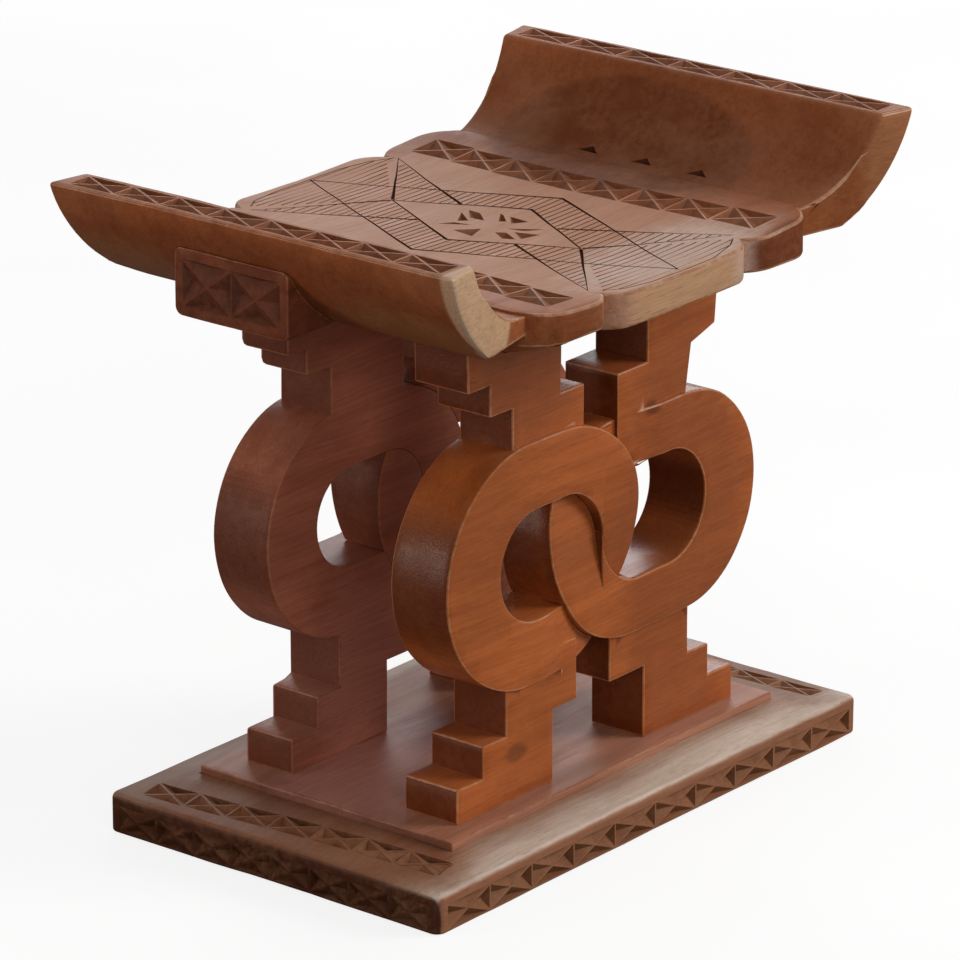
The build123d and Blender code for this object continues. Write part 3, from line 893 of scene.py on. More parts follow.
class Groove:
    """Geometry Nodes tree that turns drawn lines into V grooves."""

    def __init__(self) -> None:
        """Builds the tree."""
        sheet, given, out, self.keys = new_tree(
            "groove", "Geometry", {"Geometry": "Geometry", "Half width": "Float",
                                   "Steepness": "Float", "Finish": "Material"},
            {"Geometry": "Geometry"})
        self.tree = sheet.tree
        curve = sheet.node("GeometryNodeMeshToCurve", {"Mesh": given["Geometry"]})
        upright = sheet.node("GeometryNodeSetCurveNormal", {"Curve": curve.outputs[0]},
                             mode="Z_UP")
        profile = sheet.node("GeometryNodeCurvePrimitiveCircle",
                             {"Resolution": 4, "Radius": given["Half width"]})
        steep = sheet.node("GeometryNodeTransform", {
            "Geometry": profile.outputs[0],
            "Scale": sheet.together(X=1.0, Y=given["Steepness"], Z=1.0)})
        tube = sheet.node("GeometryNodeCurveToMesh", {
            "Curve": upright.outputs[0], "Profile Curve": steep.outputs[0], "Fill Caps": True})
        sheet.feed(out["Geometry"], sheet.finished(tube.outputs[0], given["Finish"]))

    def draw(self, name: str, lines: Iterable[Sequence[Vector]], half: float, finish: Material,
             steepness: float) -> bpy.types.Object:
        """Makes the grooves of some lines.

        Args:
            name: the cutter's name.
            lines: each line's points; one that ends where it starts is closed.
            half: half the groove's width.
            finish: material of the cut faces.
            steepness: the groove's depth in half widths.

        Returns:
            The cutter.
        """
        points: list[Vector] = []
        edges: list[tuple[int, int]] = []
        for line in lines:
            first = len(points)
            closed = (line[0] - line[-1]).length < 1e-6
            kept = line[:-1] if closed else line
            points.extend(kept)
            edges.extend((first + i, first + i + 1) for i in range(len(kept) - 1))
            if closed:
                edges.append((first + len(kept) - 1, first))
        mesh = bpy.data.meshes.new(name)
        mesh.from_pydata(points, edges, [])
        piece = add_object(name, mesh)
        run_tree(piece, self.tree, self.keys,
                 {"Half width": half, "Steepness": steepness, "Finish": finish})
        place_mesh(piece, lambda point: point)
        return piece


def cut_pits(name: str, outlines: Iterable[Sequence[Point]], depth: float, place: Place,
             finish: Material) -> bpy.types.Object:
    """Makes pits with the given outlines, each deepest in its middle.

    Args:
        name: the cutter's name.
        outlines: each pit's corners in flat coordinates.
        depth: how deep its middle is.
        place: gives the place of each flat point.
        finish: material of the cut faces.

    Returns:
        The cutter.
    """
    pits = [(outline, tuple(sum(p[i] for p in outline) / len(outline) for i in (0, 1)))
            for outline in outlines]
    piece = pit_tool(name, pits, depth)
    piece.data.materials.append(finish)
    place_mesh(piece, place)
    return piece


@dataclass
class Bench:
    """What every sub-assembly works with."""

    effects: WoodEffects
    chips: ChipRow
    groove: Groove

    def blank(self, node: str, name: str, surface: WoodFinish, edge: WoodFinish) -> Blank:
        """Starts a piece.

        Args:
            node: the node it stands for.
            name: the piece's name.
            surface: its finish.
            edge: the finish of its rounded edges, partly wear and partly a painted highlight.

        Returns:
            The painted blank.
        """
        made = Blank(node, name)
        made.paint(surface.dress(self.effects), edge.dress(self.effects))
        return made


# ---- The seat ---------------------------------------------------------------------------
class SeatPattern:
    """The linked rhombi cut into the middle of the seat, in millimetres in plan."""

    outer = ((4.0, 135.0), (63.0, -2.0), (1.0, -131.0), (-66.0, 2.0))
    inner = ((3.0, 73.0), (37.0, 0.0), (-2.0, -66.0), (-37.6, 0.0))
    corners = ((66.0, 121.0), (66.0, -120.5), (-63.5, -119.0), (-64.0, 121.0))
    front_edge = ((-58.5, -124.6), (-48.0, -130.6), (-26.0, -134.0), (2.0, -134.6),
                  (30.0, -134.1), (52.0, -129.3), (61.5, -124.0))
    back_edge = tuple((x, 1.5 - y) for x, y in front_edge)
    star = (
        ((-4.9, 19.6), (8.8, 27.6), (-0.8, 14.7)),
        ((14.3, 26.8), (4.0, 17.5), (4.8, 7.7), (13.8, 18.1)),
        ((-16.4, 24.2), (-8.5, 19.6), (-5.9, 7.8)),
        ((-20.1, 10.1), (-8.3, -0.9), (-23.2, -6.2)),
        ((8.4, 0.6), (20.6, 9.1), (19.0, 5.5), (11.0, -3.0)),
        ((19.3, 1.0), (17.8, -13.4), (9.5, -7.6)),
        ((0.3, -11.9), (12.4, -29.7), (2.6, -22.0)),
        ((-2.4, -19.6), (3.0, -33.6), (-10.4, -30.5)),
        ((-9.4, -11.4), (-5.9, -16.7), (-12.9, -28.5), (-16.4, -22.0)),
    )
    hatch_reach = 133.0
    hatch_pitch = 4.7
    clear = 1.1  # from a hatching line's end to the line that it meets
    short = 1.2  # the same for the legs
    joined = 0.2  # hatching lines closer than this run on into each other

    def _legs(self) -> list[tuple[Point, Point, Point]]:
        """Each corner with the middle of a side and the tip of the rhombus inside."""
        found = []
        for side, (corner, tip) in enumerate(zip(self.corners, (0, 2, 2, 0))):
            first, second = self.inner[side], self.inner[(side + 1) % 4]
            middle = ((first[0] + second[0]) / 2, (first[1] + second[1]) / 2)
            found.append((corner, middle, self.inner[tip]))
        return found

    def main_lines(self) -> list[list[Sequence[Point]]]:
        """The lines in groups whose members don't touch."""
        legs = [[self._short(corner, middle), corner, self._short(corner, tip)]
                for corner, middle, tip in self._legs()]
        return [[[*self.outer, self.outer[0]]], [[*self.inner, self.inner[0]]], legs]

    def edge_lines(self) -> list[list[Sequence[Point]]]:
        """The faint lines along the lobe's front and back edges, in groups."""
        return [[self.front_edge], [self.back_edge]]

    def _short(self, start: Point, end: Point) -> Point:
        """A leg's end, kept just short of the line that it meets."""
        share = 1 - self.short / math.dist(start, end)
        return (start[0] + share * (end[0] - start[0]), start[1] + share * (end[1] - start[1]))

    def areas(self) -> list[Sequence[Point]]:
        """Convex areas that the fine hatching fills."""
        sides = [(self.outer[i], self.outer[(i + 1) % 4], self.inner[(i + 1) % 4], self.inner[i])
                 for i in range(4)]
        ends = [(self.inner[2], *self.front_edge), (self.inner[0], *self.back_edge)]
        return sides + self._legs() + ends

    def hatching(self) -> list[Sequence[Point]]:
        """Fine lines along the grain, kept clear of the main lines' ends."""
        lines = []
        count = int(self.hatch_reach / self.hatch_pitch)
        for step in range(-count, count + 1):
            height = (step + 0.5) * self.hatch_pitch
            merged: list[list[float]] = []
            for low, high in sorted(filter(None, (self._span(a, height) for a in self.areas()))):
                if merged and low <= merged[-1][1] + self.joined:
                    merged[-1][1] = max(merged[-1][1], high)
                else:
                    merged.append([low, high])
            lines.extend([(low + self.clear, height), (high - self.clear, height)]
                         for low, high in merged if high - low > 3 * self.clear)
        return lines

    @staticmethod
    def _span(area: Sequence[Point], height: float) -> tuple[float, float] | None:
        """Where a line of constant height crosses a convex area.

        Args:
            area: the area's corners.
            height: the line's height in the plan.

        Returns:
            The two ends along X, or None where it misses.
        """
        hits = []
        for (x0, y0), (x1, y1) in zip(area, (*area[1:], area[0])):
            if (y0 - height) * (y1 - height) < 0:
                hits.append(x0 + (height - y0) * (x1 - x0) / (y1 - y0))
        return (min(hits), max(hits)) if len(hits) > 1 else None


@dataclass
class Seat:
    """The curved seat with its carved rims, bands and middle."""

    bench: Bench
    half_width: float = 0.1427
    top: float = 0.335
    dish_radius: float = 1.6266
    curl_x: float = 0.1174
    curl_z: float = 0.4081
    curl_radius: float = 0.0705
    curl_start: float = 0.145
    end_reach: float = 9 * MM
    rim_height: float = 0.383
    rim_middle: float = 0.1962
    band_middle: float = 0.0895
    band_length: float = 0.248
    band_width: float = 0.0245
    band_bow: float = 0.0045
    rim_length: float = 0.262
    rim_width: float = 0.0172
    notch_middles: tuple[float, ...] = (36.5 * MM, -2.8 * MM, -42.0 * MM)
    notch_half: float = 7.5 * MM
    notch_low: float = 18.7 * MM
    notch_high: float = 25.0 * MM

    def on_dish(self, point: Vector) -> Vector:
        """A flat point (along X, along Y, above the surface) on the dished top."""
        drop = math.sqrt(self.dish_radius**2 - point.x**2)
        return Vector((point.x, point.y, self.top + self.dish_radius - drop + point.z))

    def on_band(self, side: int) -> Place:
        """Place of a side band: it runs along Y where the dish slopes a little."""
        run = math.sqrt(self.dish_radius**2 - self.band_middle**2)
        height = self.top + self.dish_radius - run
        return lie_on((side * self.band_middle, 0, height), (0, -side, 0),
                      (-side * self.band_middle, 0, run))

    def on_rim(self, side: int) -> Place:
        """Place of a rim's cells: they run along Y on the flat top."""
        return lie_on((side * self.rim_middle, 0, self.rim_height), (0, -side, 0), (0, 0, 1))

    def on_curl(self, point: Vector) -> Vector:
        """A point (along Y, up the curl from its start, above it) on the right curl's inside."""
        angle = point.y / self.curl_radius
        reach = self.curl_radius - point.z
        return Vector((self.curl_x + reach * math.sin(angle), point.x,
                       self.curl_z - reach * math.cos(angle)))

    def build(self) -> bpy.types.Object:
        """Makes the seat and gives the finished piece."""
        effects, chips = self.bench.effects, self.bench.chips
        blank = self.bench.blank("seat", "carved_seat", SEAT_FINISH, SEAT_EDGE)
        hollow, line = SEAT_HOLLOW.dress(effects), GROOVE_FINISH.dress(effects)
        blank.round_chosen(self._end_edge, 2.6 * MM, 3)
        for side, seed, rim_cells in ((-1, 3, 8), (1, 11, 7)):
            band = Band(8, self.band_length, self.band_width, 3.4 * MM, self.on_band(side), seed,
                        bow=self.band_bow)
            blank.carve(chips.lay("band_tool", band, hollow))
            rim = Band(rim_cells, self.rim_length, self.rim_width, 3.5 * MM, self.on_rim(side),
                       seed + 4)
            blank.carve(chips.lay("rim_tool", rim, hollow))
        notches = [[(middle - self.notch_half, self.notch_low),
                    (middle + self.notch_half, self.notch_low), (middle, self.notch_high)]
                   for middle in self.notch_middles]
        blank.carve(cut_pits("notch_tool", notches, 5.0 * MM, self.on_curl, line))
        star = [[(x * MM, y * MM) for x, y in pit] for pit in SeatPattern.star]
        blank.carve(cut_pits("star_tool", star, 3.0 * MM, self.on_dish, hollow))
        self._cut_lines(blank, line, HATCH_FINISH.dress(effects))
        return blank.complete("seat_wood", 1.6 * MM, 14.5 * MM, 0.35 * MM)

    def _end_edge(self, point: Vector) -> bool:
        """Whether a point lies on the outline of an end face of a curl."""
        return abs(point.y) > self.half_width - self.end_reach and abs(point.x) > self.curl_start

    def _cut_lines(self, blank: Blank, line: Material, hatch: Material) -> None:
        """Cuts the linked rhombi, the lines along the edges and the hatching.

        Args:
            blank: the seat.
            line: finish of the main grooves.
            hatch: finish of the fine grooves.
        """
        pattern = SeatPattern()
        high = 2 * TOOL_LIFT
        for name, groups, lift, half, finish, steepness in (
            ("line_tool", pattern.main_lines(), high, 1.15 * MM, line, 1.4),
            ("edge_tool", pattern.edge_lines(), high, 0.45 * MM, hatch, 2.0),
            ("hatch_tool", [pattern.hatching()], TOOL_LIFT, 0.48 * MM, hatch, 2.4),
        ):
            for group in groups:
                runs = [[self.on_dish(Vector((x * MM, y * MM, lift))) for x, y in run]
                        for run in group]
                blank.carve(self.bench.groove.draw(name, runs, half, finish, steepness))


# ---- The lugs ---------------------------------------------------------------------------
@dataclass
class Lug:
    """The carved block under one end of the seat."""

    bench: Bench
    side: int
    face: float = 0.2010
    middle_y: float = 0.018
    middle_z: float = 0.3408
    length: float = 0.070
    width: float = 0.0265

    def build(self) -> bpy.types.Object:
        """Makes the lug and gives the finished piece."""
        name = "left_lug" if self.side < 0 else "right_lug"
        blank = self.bench.blank(name, f"carved_{name}", LUG_FINISH, LUG_EDGE)
        place = lie_on((self.side * self.face, self.middle_y, self.middle_z),
                       (0, self.side, 0), (self.side, 0, 0))
        cells = Band(2, self.length, self.width, 4.4 * MM, place, 5 + self.side)
        hollow = LUG_HOLLOW.dress(self.bench.effects)
        blank.carve(self.bench.chips.lay("lug_tool", cells, hollow))
        return blank.complete("lug_wood", 1.0 * MM, 12 * MM)


# ---- The linked rings -------------------------------------------------------------------
class Panel(Enum):
    """Which of the two upright panels a link belongs to."""

    FRONT = "front"
    BACK = "back"


@dataclass
class RingLink:
    """One link: a ring with its stepped neck and foot."""

    bench: Bench
    panel: Panel
    side: int
    outer_face: float = 0.0793
    steps_from: float = 0.07  # from the stool's middle
    foot_top: float = 0.0735
    neck_start: float = 0.2655

    def build(self) -> bpy.types.Object:
        """Makes the link and gives the finished piece."""
        finishes = {Panel.FRONT: (FRONT_LINK_FINISH, FRONT_LINK_EDGE),
                    Panel.BACK: (BACK_LINK_FINISH, BACK_LINK_EDGE)}[self.panel]
        name = f"{self.panel.value}_{'left' if self.side < 0 else 'right'}_link"
        blank = self.bench.blank(name, f"carved_{name}", *finishes)
        if self.panel is Panel.BACK:
            blank.round_chosen(self._worn_edge, 7.0 * MM)
        return blank.complete("link_wood", 1.0 * MM, 12.5 * MM)

    def _worn_edge(self, point: Vector) -> bool:
        """Whether a point lies on the outer face of a neck or foot, round its steps."""
        on_face = abs(point.y - self.outer_face) < 0.2 * MM
        on_steps = point.z < self.foot_top or point.z > self.neck_start
        return on_face and self.side * point.x > self.steps_from and on_steps


# ---- Plinth and base --------------------------------------------------------------------
@dataclass
class Plinth:
    """The thin board under the feet."""

    bench: Bench

    def build(self) -> bpy.types.Object:
        """Makes the plinth and gives the finished piece."""
        blank = self.bench.blank("plinth", "dressed_plinth", PLINTH_FINISH, PLINTH_EDGE)
        return blank.complete("plinth_wood", 1.1 * MM, 13.5 * MM)


@dataclass
class BaseBoard:
    """The base board with its carved sides and the bands on its short ends."""

    bench: Bench
    length: float = 0.390
    width: float = 0.242
    edge_height: float = 0.0227
    crown: float = 0.0053
    plinth_length: float = 0.296
    plinth_width: float = 0.185
    band_middle: float = 0.1725
    band_length: float = 0.208
    band_width: float = 0.0165
    band_turn: float = 3.1
    row_middle: float = 0.0092
    row_height: float = 0.0152
    row_margin: float = 7.5 * MM

    def on_side(self, side: int, across: bool) -> Place:
        """Place of a side's cells.

        Args:
            side: -1 for the front or left side, 1 for the back or right one.
            across: whether it is a short side, across the grain.

        Returns:
            The place.
        """
        if across:
            return lie_on((side * self.length / 2, 0, self.row_middle), (0, side, 0), (side, 0, 0))
        return lie_on((0, side * self.width / 2, self.row_middle), (-side, 0, 0), (0, side, 0))

    def on_top(self, side: int) -> Place:
        """Place of an end band, on the slope between edge and plinth.

        Near the corners the band follows the long sides' slopes down.

        Args:
            side: -1 for the left end, 1 for the right end.

        Returns:
            The place.
        """
        run = (self.length - self.plinth_length) / 2
        side_run = (self.width - self.plinth_width) / 2
        rise = self.crown * (self.length / 2 - self.band_middle) / run
        flat = lie_on((side * self.band_middle, 0, self.edge_height + rise), (0, -side, 0),
                      (side * self.crown, 0, run), self.band_turn)

        def place(point: Vector) -> Vector:
            """Gives the place of one point."""
            made = flat(point)
            fall = self.crown * (abs(made.x) - self.plinth_length / 2) / run
            side_fall = self.crown * (abs(made.y) - self.plinth_width / 2) / side_run
            made.z -= max(0.0, side_fall - max(0.0, fall))
            return made

        return place

    def build(self) -> bpy.types.Object:
        """Makes the base board and gives the finished piece."""
        blank = self.bench.blank("base", "carved_base", BASE_FINISH, BASE_EDGE)
        hollow = BASE_HOLLOW.dress(self.bench.effects)
        blank.round_chosen(self._top_edge, 3.2 * MM)
        for side, seed in ((-1, 21), (1, 31)):
            rows = (Band(10, self.length - 2 * self.row_margin, self.row_height, 4.2 * MM,
                         self.on_side(side, False), seed, heel=0.18),
                    Band(8, self.width - 2 * self.row_margin, self.row_height, 4.2 * MM,
                         self.on_side(side, True), seed + 2, heel=0.18),
                    Band(7, self.band_length, self.band_width, 2.8 * MM, self.on_top(side),
                         seed + 4))
            for name, row in zip(("long_tool", "short_tool", "top_tool"), rows):
                blank.carve(self.bench.chips.lay(name, row, hollow))
        return blank.complete("base_wood", 1.5 * MM, 14.5 * MM, 0.35 * MM, 0.8 * MM, segments=3)

    def _top_edge(self, point: Vector) -> bool:
        """Whether a point lies on the upper outline of the board."""
        margin = 9 * MM
        outer = abs(point.x) > self.length / 2 - margin or abs(point.y) > self.width / 2 - margin
        return abs(point.z - self.edge_height) < 0.3 * MM and outer


# ---- Finishes ---------------------------------------------------------------------------
SEAT_FINISH = WoodFinish(
    "seat_scraped", heart=(0.36, 0.105, 0.034), streak=(0.27, 0.075, 0.023),
    sapwood=(0.4, 0.16, 0.07), sapwood_radius=0.215, sapwood_share=0.3,
    rubbed=(0.46, 0.2, 0.1), dust=(0.5, 0.26, 0.16), dust_share=0.2, roughness=0.5, gloss=0.14,
    marks=0.3,
    patches=(
        Patch((0.0, 0.0, 0.327), (0.115, 0.19, 0.04), (0.47, 0.22, 0.12), 0.8, 0.35, 0.15),
        # painted sheen: a pale patch on the front of the seat's middle
        Patch((0.02, -0.115, 0.325), (0.08, 0.04, 0.03), (0.62, 0.45, 0.37), 0.75, 0.7),
        Patch((0.165, 0.0, 0.35), (0.075, 0.17, 0.04), (0.2, 0.055, 0.015), 0.8, 0.5, 0.2),
        # painted shade: darker on the outside and underside of the left curl
        Patch((-0.19, 0.0, 0.34), (0.07, 0.16, 0.036), (0.22, 0.055, 0.015), 0.8, 0.4, 0.2),
        Patch((0.152, 0.018, 0.335), (0.065, 0.09, 0.046), (0.135, 0.032, 0.008), 0.9, 0.12,
              0.04),
        Patch((0.1, -0.142, 0.322), (0.045, 0.012, 0.03), (0.15, 0.032, 0.006), 0.95, 0.5, 0.2),
        Patch((-0.19, 0.11, 0.335), (0.03, 0.045, 0.02), (0.3, 0.14, 0.05), 0.5, 0.8, 0.5),
        Patch((-0.18, -0.1, 0.335), (0.03, 0.05, 0.018), (0.3, 0.14, 0.05), 0.5, 0.8, 0.5),
        Patch((-0.1, -0.142, 0.322), (0.045, 0.01, 0.03), (0.2, 0.055, 0.016), 0.8, 0.5, 0.2),
        Patch((0.0, -0.142, 0.325), (0.05, 0.012, 0.03), (0.5, 0.28, 0.14), 0.85, 0.5, 0.25),
        Patch((-0.195, -0.152, 0.35), (0.064, 0.02, 0.08), (0.56, 0.36, 0.22), 0.95, 0.15,
              0.05),
        Patch((-0.158, -0.142, 0.345), (0.023, 0.022, 0.027), (0.54, 0.34, 0.2), 0.95, 0.15,
              0.05),
        Patch((0.19, -0.143, 0.36), (0.06, 0.009, 0.05), (0.34, 0.14, 0.06), 0.7, 0.6, 0.3),
    ))
# rounded edges: rubbed pale partly for wear, partly as a painted highlight
SEAT_EDGE = WoodFinish(
    "seat_worn_and_highlit", heart=(0.42, 0.17, 0.075), streak=(0.34, 0.125, 0.05),
    sapwood=(0.5, 0.3, 0.18), sapwood_radius=0.21, sapwood_share=0.4,
    rubbed=(0.6, 0.4, 0.27), rubbed_share=0.6, dust_share=0.15, roughness=0.45, gloss=0.3,
    patches=(
        Patch((-0.195, -0.152, 0.345), (0.065, 0.022, 0.08), (0.6, 0.42, 0.28), 0.9, 0.3, 0.1),
    ))
# cut hollows: darker partly for dirt in the cuts, partly as painted shade
SEAT_HOLLOW = WoodFinish(
    "seat_cut_hollow", heart=(0.22, 0.07, 0.026), streak=(0.16, 0.047, 0.017),
    sapwood=(0.3, 0.15, 0.07), rubbed=(0.36, 0.16, 0.09), rubbed_share=0.2, dust_share=0.1,
    roughness=0.6, gloss=0.15)
# main grooves and notches: darker partly for dirt in the cuts, partly as painted shade
GROOVE_FINISH = WoodFinish(
    "seat_groove", heart=(0.075, 0.022, 0.009), streak=(0.055, 0.016, 0.007),
    sapwood=(0.1, 0.04, 0.02), rubbed_share=0.0, dust_share=0.0, roughness=0.8, gloss=0.05)
HATCH_FINISH = WoodFinish(
    "seat_hatching", heart=(0.14, 0.046, 0.02), streak=(0.105, 0.034, 0.015),
    sapwood=(0.26, 0.12, 0.06), rubbed_share=0.1, dust_share=0.0, roughness=0.75, gloss=0.05)
LUG_FINISH = WoodFinish(
    "lug_stained", heart=(0.19, 0.045, 0.015), streak=(0.13, 0.029, 0.009),
    sapwood=(0.3, 0.2, 0.12), rubbed=(0.36, 0.13, 0.06), rubbed_share=0.2, dust_share=0.03,
    roughness=0.5, gloss=0.22)
# rounded edges: rubbed pale partly for wear, partly as a painted highlight
LUG_EDGE = WoodFinish(
    "lug_worn_and_highlit", heart=(0.26, 0.075, 0.03), streak=(0.18, 0.048, 0.018),
    sapwood=(0.3, 0.2, 0.12), rubbed=(0.42, 0.19, 0.1), rubbed_share=0.6, dust_share=0.03,
    roughness=0.42)
# cut hollows: darker partly for dirt in the cuts, partly as painted shade
LUG_HOLLOW = WoodFinish(
    "lug_cut_hollow", heart=(0.15, 0.036, 0.013), streak=(0.1, 0.023, 0.008),
    sapwood=(0.2, 0.12, 0.07), rubbed=(0.3, 0.11, 0.05), rubbed_share=0.25, dust_share=0.03)
FRONT_LINK_FINISH = WoodFinish(
    "link_warm", heart=(0.44, 0.115, 0.026), streak=(0.35, 0.083, 0.018),
    sapwood=(0.5, 0.26, 0.12), rubbed=(0.5, 0.2, 0.08), rubbed_share=0.08,
    dust=(0.46, 0.24, 0.14), dust_share=0.1, roughness=0.33, gloss=0.4, marks=0.22,
    end_grain_and_shade=0.85,
    patches=(
        Patch((0.075, -0.08, 0.13), (0.055, 0.035, 0.15), (0.3, 0.077, 0.021), 0.75, 0.6),
        Patch((-0.062, -0.08, 0.285), (0.05, 0.03, 0.04), (0.27, 0.07, 0.022), 0.7, 0.6),
        Patch((0.046, -0.082, 0.232), (0.006, 0.02, 0.004), (0.12, 0.03, 0.01), 0.8, 0.9),
        Patch((-0.075, -0.08, 0.06), (0.009, 0.02, 0.005), (0.16, 0.045, 0.015), 0.7, 0.9),
    ))
# rounded edges: rubbed pale partly for wear, partly as a painted highlight
FRONT_LINK_EDGE = WoodFinish(
    "link_worn_and_highlit", heart=(0.47, 0.15, 0.045), streak=(0.39, 0.11, 0.03),
    sapwood=(0.5, 0.26, 0.12), rubbed=(0.6, 0.32, 0.18), rubbed_share=0.5,
    dust_share=0.08, roughness=0.38, end_grain_and_shade=0.2)
BACK_LINK_FINISH = WoodFinish(
    "link_dull", heart=(0.42, 0.145, 0.085), streak=(0.33, 0.105, 0.058),
    sapwood=(0.3, 0.18, 0.12), rubbed=(0.42, 0.19, 0.11), rubbed_share=0.1,
    dust=(0.42, 0.23, 0.15), dust_share=0.1, roughness=0.4, gloss=0.2, marks=0.3,
    end_grain_and_shade=0.75,
    patches=(
        Patch((-0.05, 0.06, 0.08), (0.07, 0.045, 0.06), (0.5, 0.21, 0.15), 0.7, 0.6),
    ))
# rounded edges: rubbed pale partly for wear, partly as a painted highlight
BACK_LINK_EDGE = WoodFinish(
    "link_dull_worn_and_highlit", heart=(0.42, 0.14, 0.065), streak=(0.34, 0.105, 0.047),
    sapwood=(0.3, 0.18, 0.12), rubbed=(0.48, 0.25, 0.15), rubbed_share=0.35,
    dust_share=0.1, roughness=0.42, end_grain_and_shade=0.3)
PLINTH_FINISH = WoodFinish(
    "plinth_dry", heart=(0.42, 0.18, 0.105), streak=(0.33, 0.13, 0.075),
    sapwood=(0.45, 0.25, 0.17), sapwood_radius=0.19, sapwood_share=0.35,
    rubbed=(0.44, 0.2, 0.12), dust=(0.46, 0.24, 0.18), dust_share=0.25, roughness=0.5,
    gloss=0.35, end_grain_and_shade=0.6,
    patches=(
        # painted light: paler patches on the plinth's middle, which lies in the shade under the seat
        Patch((-0.06, 0.0, 0.033), (0.1, 0.055, 0.02), (0.64, 0.28, 0.23), 0.8, 0.6),
        Patch((0.07, 0.0, 0.033), (0.1, 0.055, 0.02), (0.5, 0.25, 0.17), 0.7, 0.6),
    ))
# rounded edges: rubbed pale partly for wear, partly as a painted highlight
PLINTH_EDGE = WoodFinish(
    "plinth_worn_and_highlit", heart=(0.38, 0.13, 0.07), streak=(0.29, 0.09, 0.048),
    sapwood=(0.48, 0.28, 0.18), sapwood_radius=0.19, sapwood_share=0.35,
    rubbed=(0.55, 0.33, 0.22), rubbed_share=0.4, dust_share=0.1, roughness=0.45, end_grain_and_shade=0.5)
BASE_FINISH = WoodFinish(
    "base_dry", heart=(0.3, 0.12, 0.06), streak=(0.22, 0.08, 0.037),
    sapwood=(0.72, 0.6, 0.5), sapwood_radius=0.194, sapwood_share=0.95,
    rubbed=(0.42, 0.22, 0.12), dust=(0.48, 0.3, 0.2), dust_share=0.2, roughness=0.5,
    gloss=0.18, end_grain_and_shade=0.97,
    patches=(
        Patch((-0.175, 0.02, 0.027), (0.04, 0.14, 0.014), (0.23, 0.085, 0.042), 0.88, 0.4, 0.2),
        Patch((-0.13, 0.115, 0.026), (0.09, 0.032, 0.014), (0.27, 0.15, 0.1), 0.8, 0.5, 0.25),
        Patch((0.175, 0.0, 0.027), (0.034, 0.115, 0.014), (0.26, 0.13, 0.08), 0.8, 0.4, 0.25),
        *Patch((0.0, -0.1225, 0.009), (0.6, 0.005, 0.0155), (0.3, 0.11, 0.05), 0.95, 0.3,
               0.1).mirrored(1),
        *Patch((-0.196, 0.0, 0.008), (0.0045, 0.4, 0.015), (0.06, 0.017, 0.007), 0.95, 0.3,
               0.1).mirrored(0),
    ))
# rounded edges: rubbed pale partly for wear, partly as a painted highlight
BASE_EDGE = WoodFinish(
    "base_worn_and_highlit", heart=(0.32, 0.14, 0.07), streak=(0.24, 0.095, 0.044),
    sapwood=(0.5, 0.36, 0.25), sapwood_radius=0.194, sapwood_share=0.7,
    rubbed=(0.46, 0.28, 0.17), rubbed_share=0.3, dust_share=0.1, roughness=0.48,
    gloss=0.2, end_grain_and_shade=0.85,
    patches=Patch((-0.197, 0.0, 0.006), (0.006, 0.4, 0.015), (0.07, 0.02, 0.008), 0.9, 0.4,
                  0.1).mirrored(0))
# cut hollows: darker partly for dirt in the cuts, partly as painted shade
BASE_HOLLOW = WoodFinish(
    "base_cut_hollow", heart=(0.24, 0.088, 0.036), streak=(0.17, 0.057, 0.023),
    sapwood=(0.27, 0.125, 0.06), sapwood_radius=0.2, sapwood_share=0.4,
    rubbed=(0.4, 0.2, 0.11), rubbed_share=0.25, dust_share=0.06, roughness=0.6,
    gloss=0.12, end_grain_and_shade=0.9,
    patches=Patch((-0.197, 0.0, 0.008), (0.009, 0.14, 0.016), (0.06, 0.017, 0.007), 0.9, 0.3,
                  0.1).mirrored(0))


# ---- Studio -----------------------------------------------------------------------------
@dataclass
class Lamp:
    """A soft square lamp that faces the middle of the stool."""

    name: str
    place: Triple
    size: float
    power: float
    colour: Triple

    def hang(self) -> None:
        """Puts the lamp up."""
        light = bpy.data.lights.new(self.name, "AREA")
        light.size = self.size
        light.energy = self.power
        light.color = self.colour
        lamp = bpy.data.objects.new(self.name, light)
        lamp.location = self.place
        aim = Vector((0, 0, 0.18)) - Vector(self.place)
        lamp.rotation_euler = aim.to_track_quat("-Z", "Y").to_euler()
        bpy.context.scene.collection.objects.link(lamp)


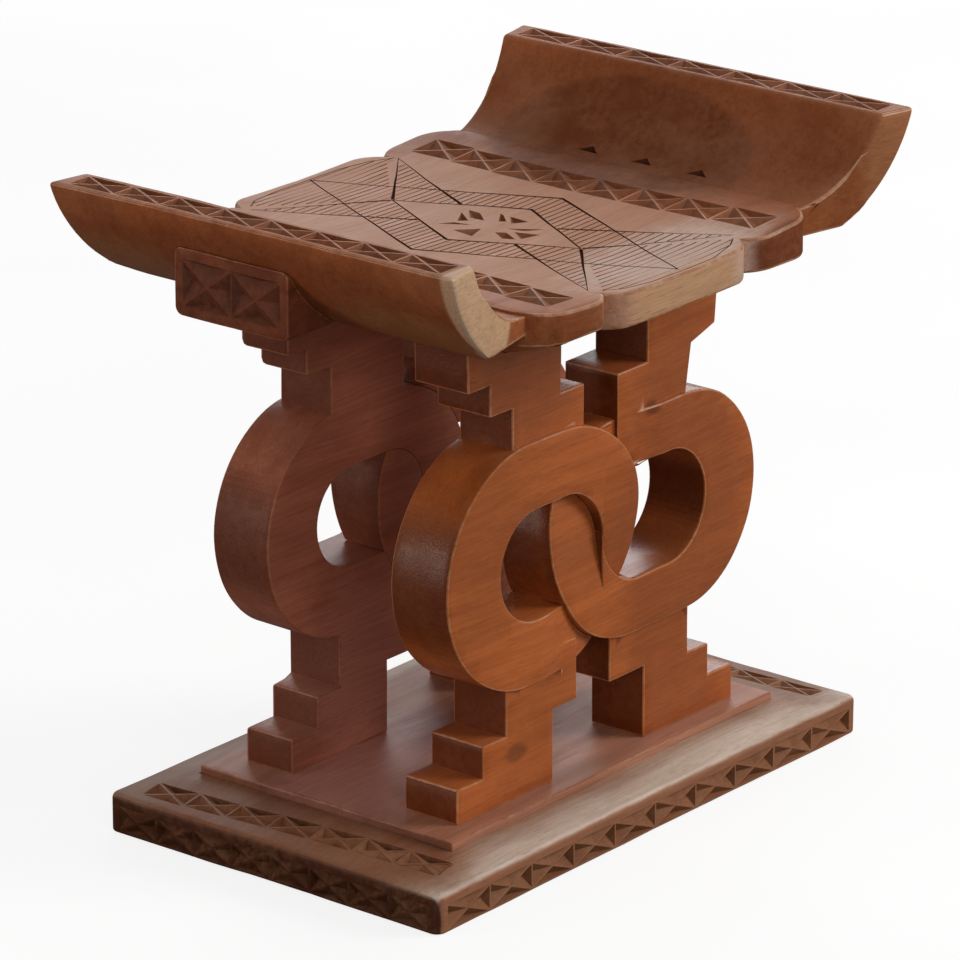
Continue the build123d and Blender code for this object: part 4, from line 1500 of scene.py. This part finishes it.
@dataclass
class Studio:
    """Camera, floor, world and lamps."""

    camera_place: Triple = (-2.665, -2.138, 1.388)
    camera_turns: Triple = (math.radians(70.58), 0.0, math.radians(-51.17))
    lens: float = 238.9
    sensor: float = 36.0
    near: float = 0.1
    floor_reach: float = 9.0
    floor_level: float = -0.6 * MM
    floor_glow: float = 0.83
    world_level: float = 0.18

    def set_up(self) -> None:
        """Sets the whole studio up."""
        bpy.context.scene.view_settings.view_transform = "Standard"
        self._camera()
        self._floor()
        self._world()
        for lamp in (
            Lamp("front_window", (1.9, -2.2, 1.5), 1.5, 62.0, (1.0, 0.98, 0.95)),
            Lamp("back_window", (2.6, 2.1, 1.4), 1.7, 32.0, (0.95, 0.97, 1.0)),
            Lamp("left_window", (-2.4, 1.8, 0.45), 0.85, 20.0, (1.0, 0.8, 0.7)),
            Lamp("room", (-2.0, -2.3, 1.5), 2.2, 24.0, (1.0, 0.98, 0.96)),
            Lamp("ceiling", (0.0, 0.0, 2.6), 2.4, 14.0, (0.97, 0.98, 1.0)),
        ):
            lamp.hang()

    def _camera(self) -> None:
        """Places the camera."""
        data = bpy.data.cameras.new("camera")
        data.lens = self.lens
        data.sensor_width = self.sensor
        data.clip_start = self.near
        camera = bpy.data.objects.new("camera", data)
        camera.location = self.camera_place
        camera.rotation_euler = self.camera_turns
        bpy.context.scene.collection.objects.link(camera)
        bpy.context.scene.camera = camera

    def _floor(self) -> None:
        """Lays a pale floor that keeps the stool's soft shadow."""
        mesh = bpy.data.meshes.new("floor")
        corners = [(x * self.floor_reach, y * self.floor_reach, self.floor_level)
                   for x, y in ((-1, -1), (1, -1), (1, 1), (-1, 1))]
        mesh.from_pydata(corners, [], [(0, 1, 2, 3)])
        floor = add_object("floor", mesh)
        material, sheet = new_material("pale_floor")
        point = sheet.node("ShaderNodeTexCoord").outputs["Object"]
        cloud = sheet.fit(sheet.noise(point, 3.0, 2.0), 0.3, 0.7, 0.2, 0.22)
        matt = sheet.node("ShaderNodeBsdfDiffuse", {"Color": sheet.grey(cloud)})
        seen = sheet.node("ShaderNodeLightPath").outputs["Is Camera Ray"]
        glow = sheet.node("ShaderNodeEmission", {"Strength": sheet.times(seen, self.floor_glow)})
        both = sheet.node("ShaderNodeAddShader", {0: matt.outputs[0], 1: glow.outputs[0]})
        sheet.node("ShaderNodeOutputMaterial", {"Surface": both.outputs[0]})
        mesh.materials.append(material)

    def _world(self) -> None:
        """A white backdrop to the eye and a soft even light to the stool."""
        world = bpy.data.worlds.new("world")
        bpy.context.scene.world = world
        world.use_nodes = True
        world.node_tree.nodes.clear()
        sheet = Sheet(world.node_tree)
        rays = sheet.node("ShaderNodeLightPath").outputs
        seen = sheet.math("MAXIMUM", rays["Is Camera Ray"], rays["Is Transmission Ray"])
        level = sheet.fit(seen, 0.0, 1.0, self.world_level, 1.0)
        sky = sheet.node("ShaderNodeBackground", {"Strength": level})
        sheet.node("ShaderNodeOutputWorld", {"Surface": sky.outputs[0]})


def main() -> None:
    """Builds the stool and its studio."""
    logging.basicConfig(level=logging.INFO, format="%(name)s: %(message)s")
    bench = Bench(WoodEffects(), ChipRow(), Groove())
    parts = [Seat(bench), Lug(bench, -1), Lug(bench, 1), Plinth(bench), BaseBoard(bench)]
    parts += [RingLink(bench, panel, side) for panel in Panel for side in (-1, 1)]
    for part in parts:
        made = part.build()
        log.info("%s is in place", made.name)
    Studio().set_up()


if __name__ == "__main__":
    main()
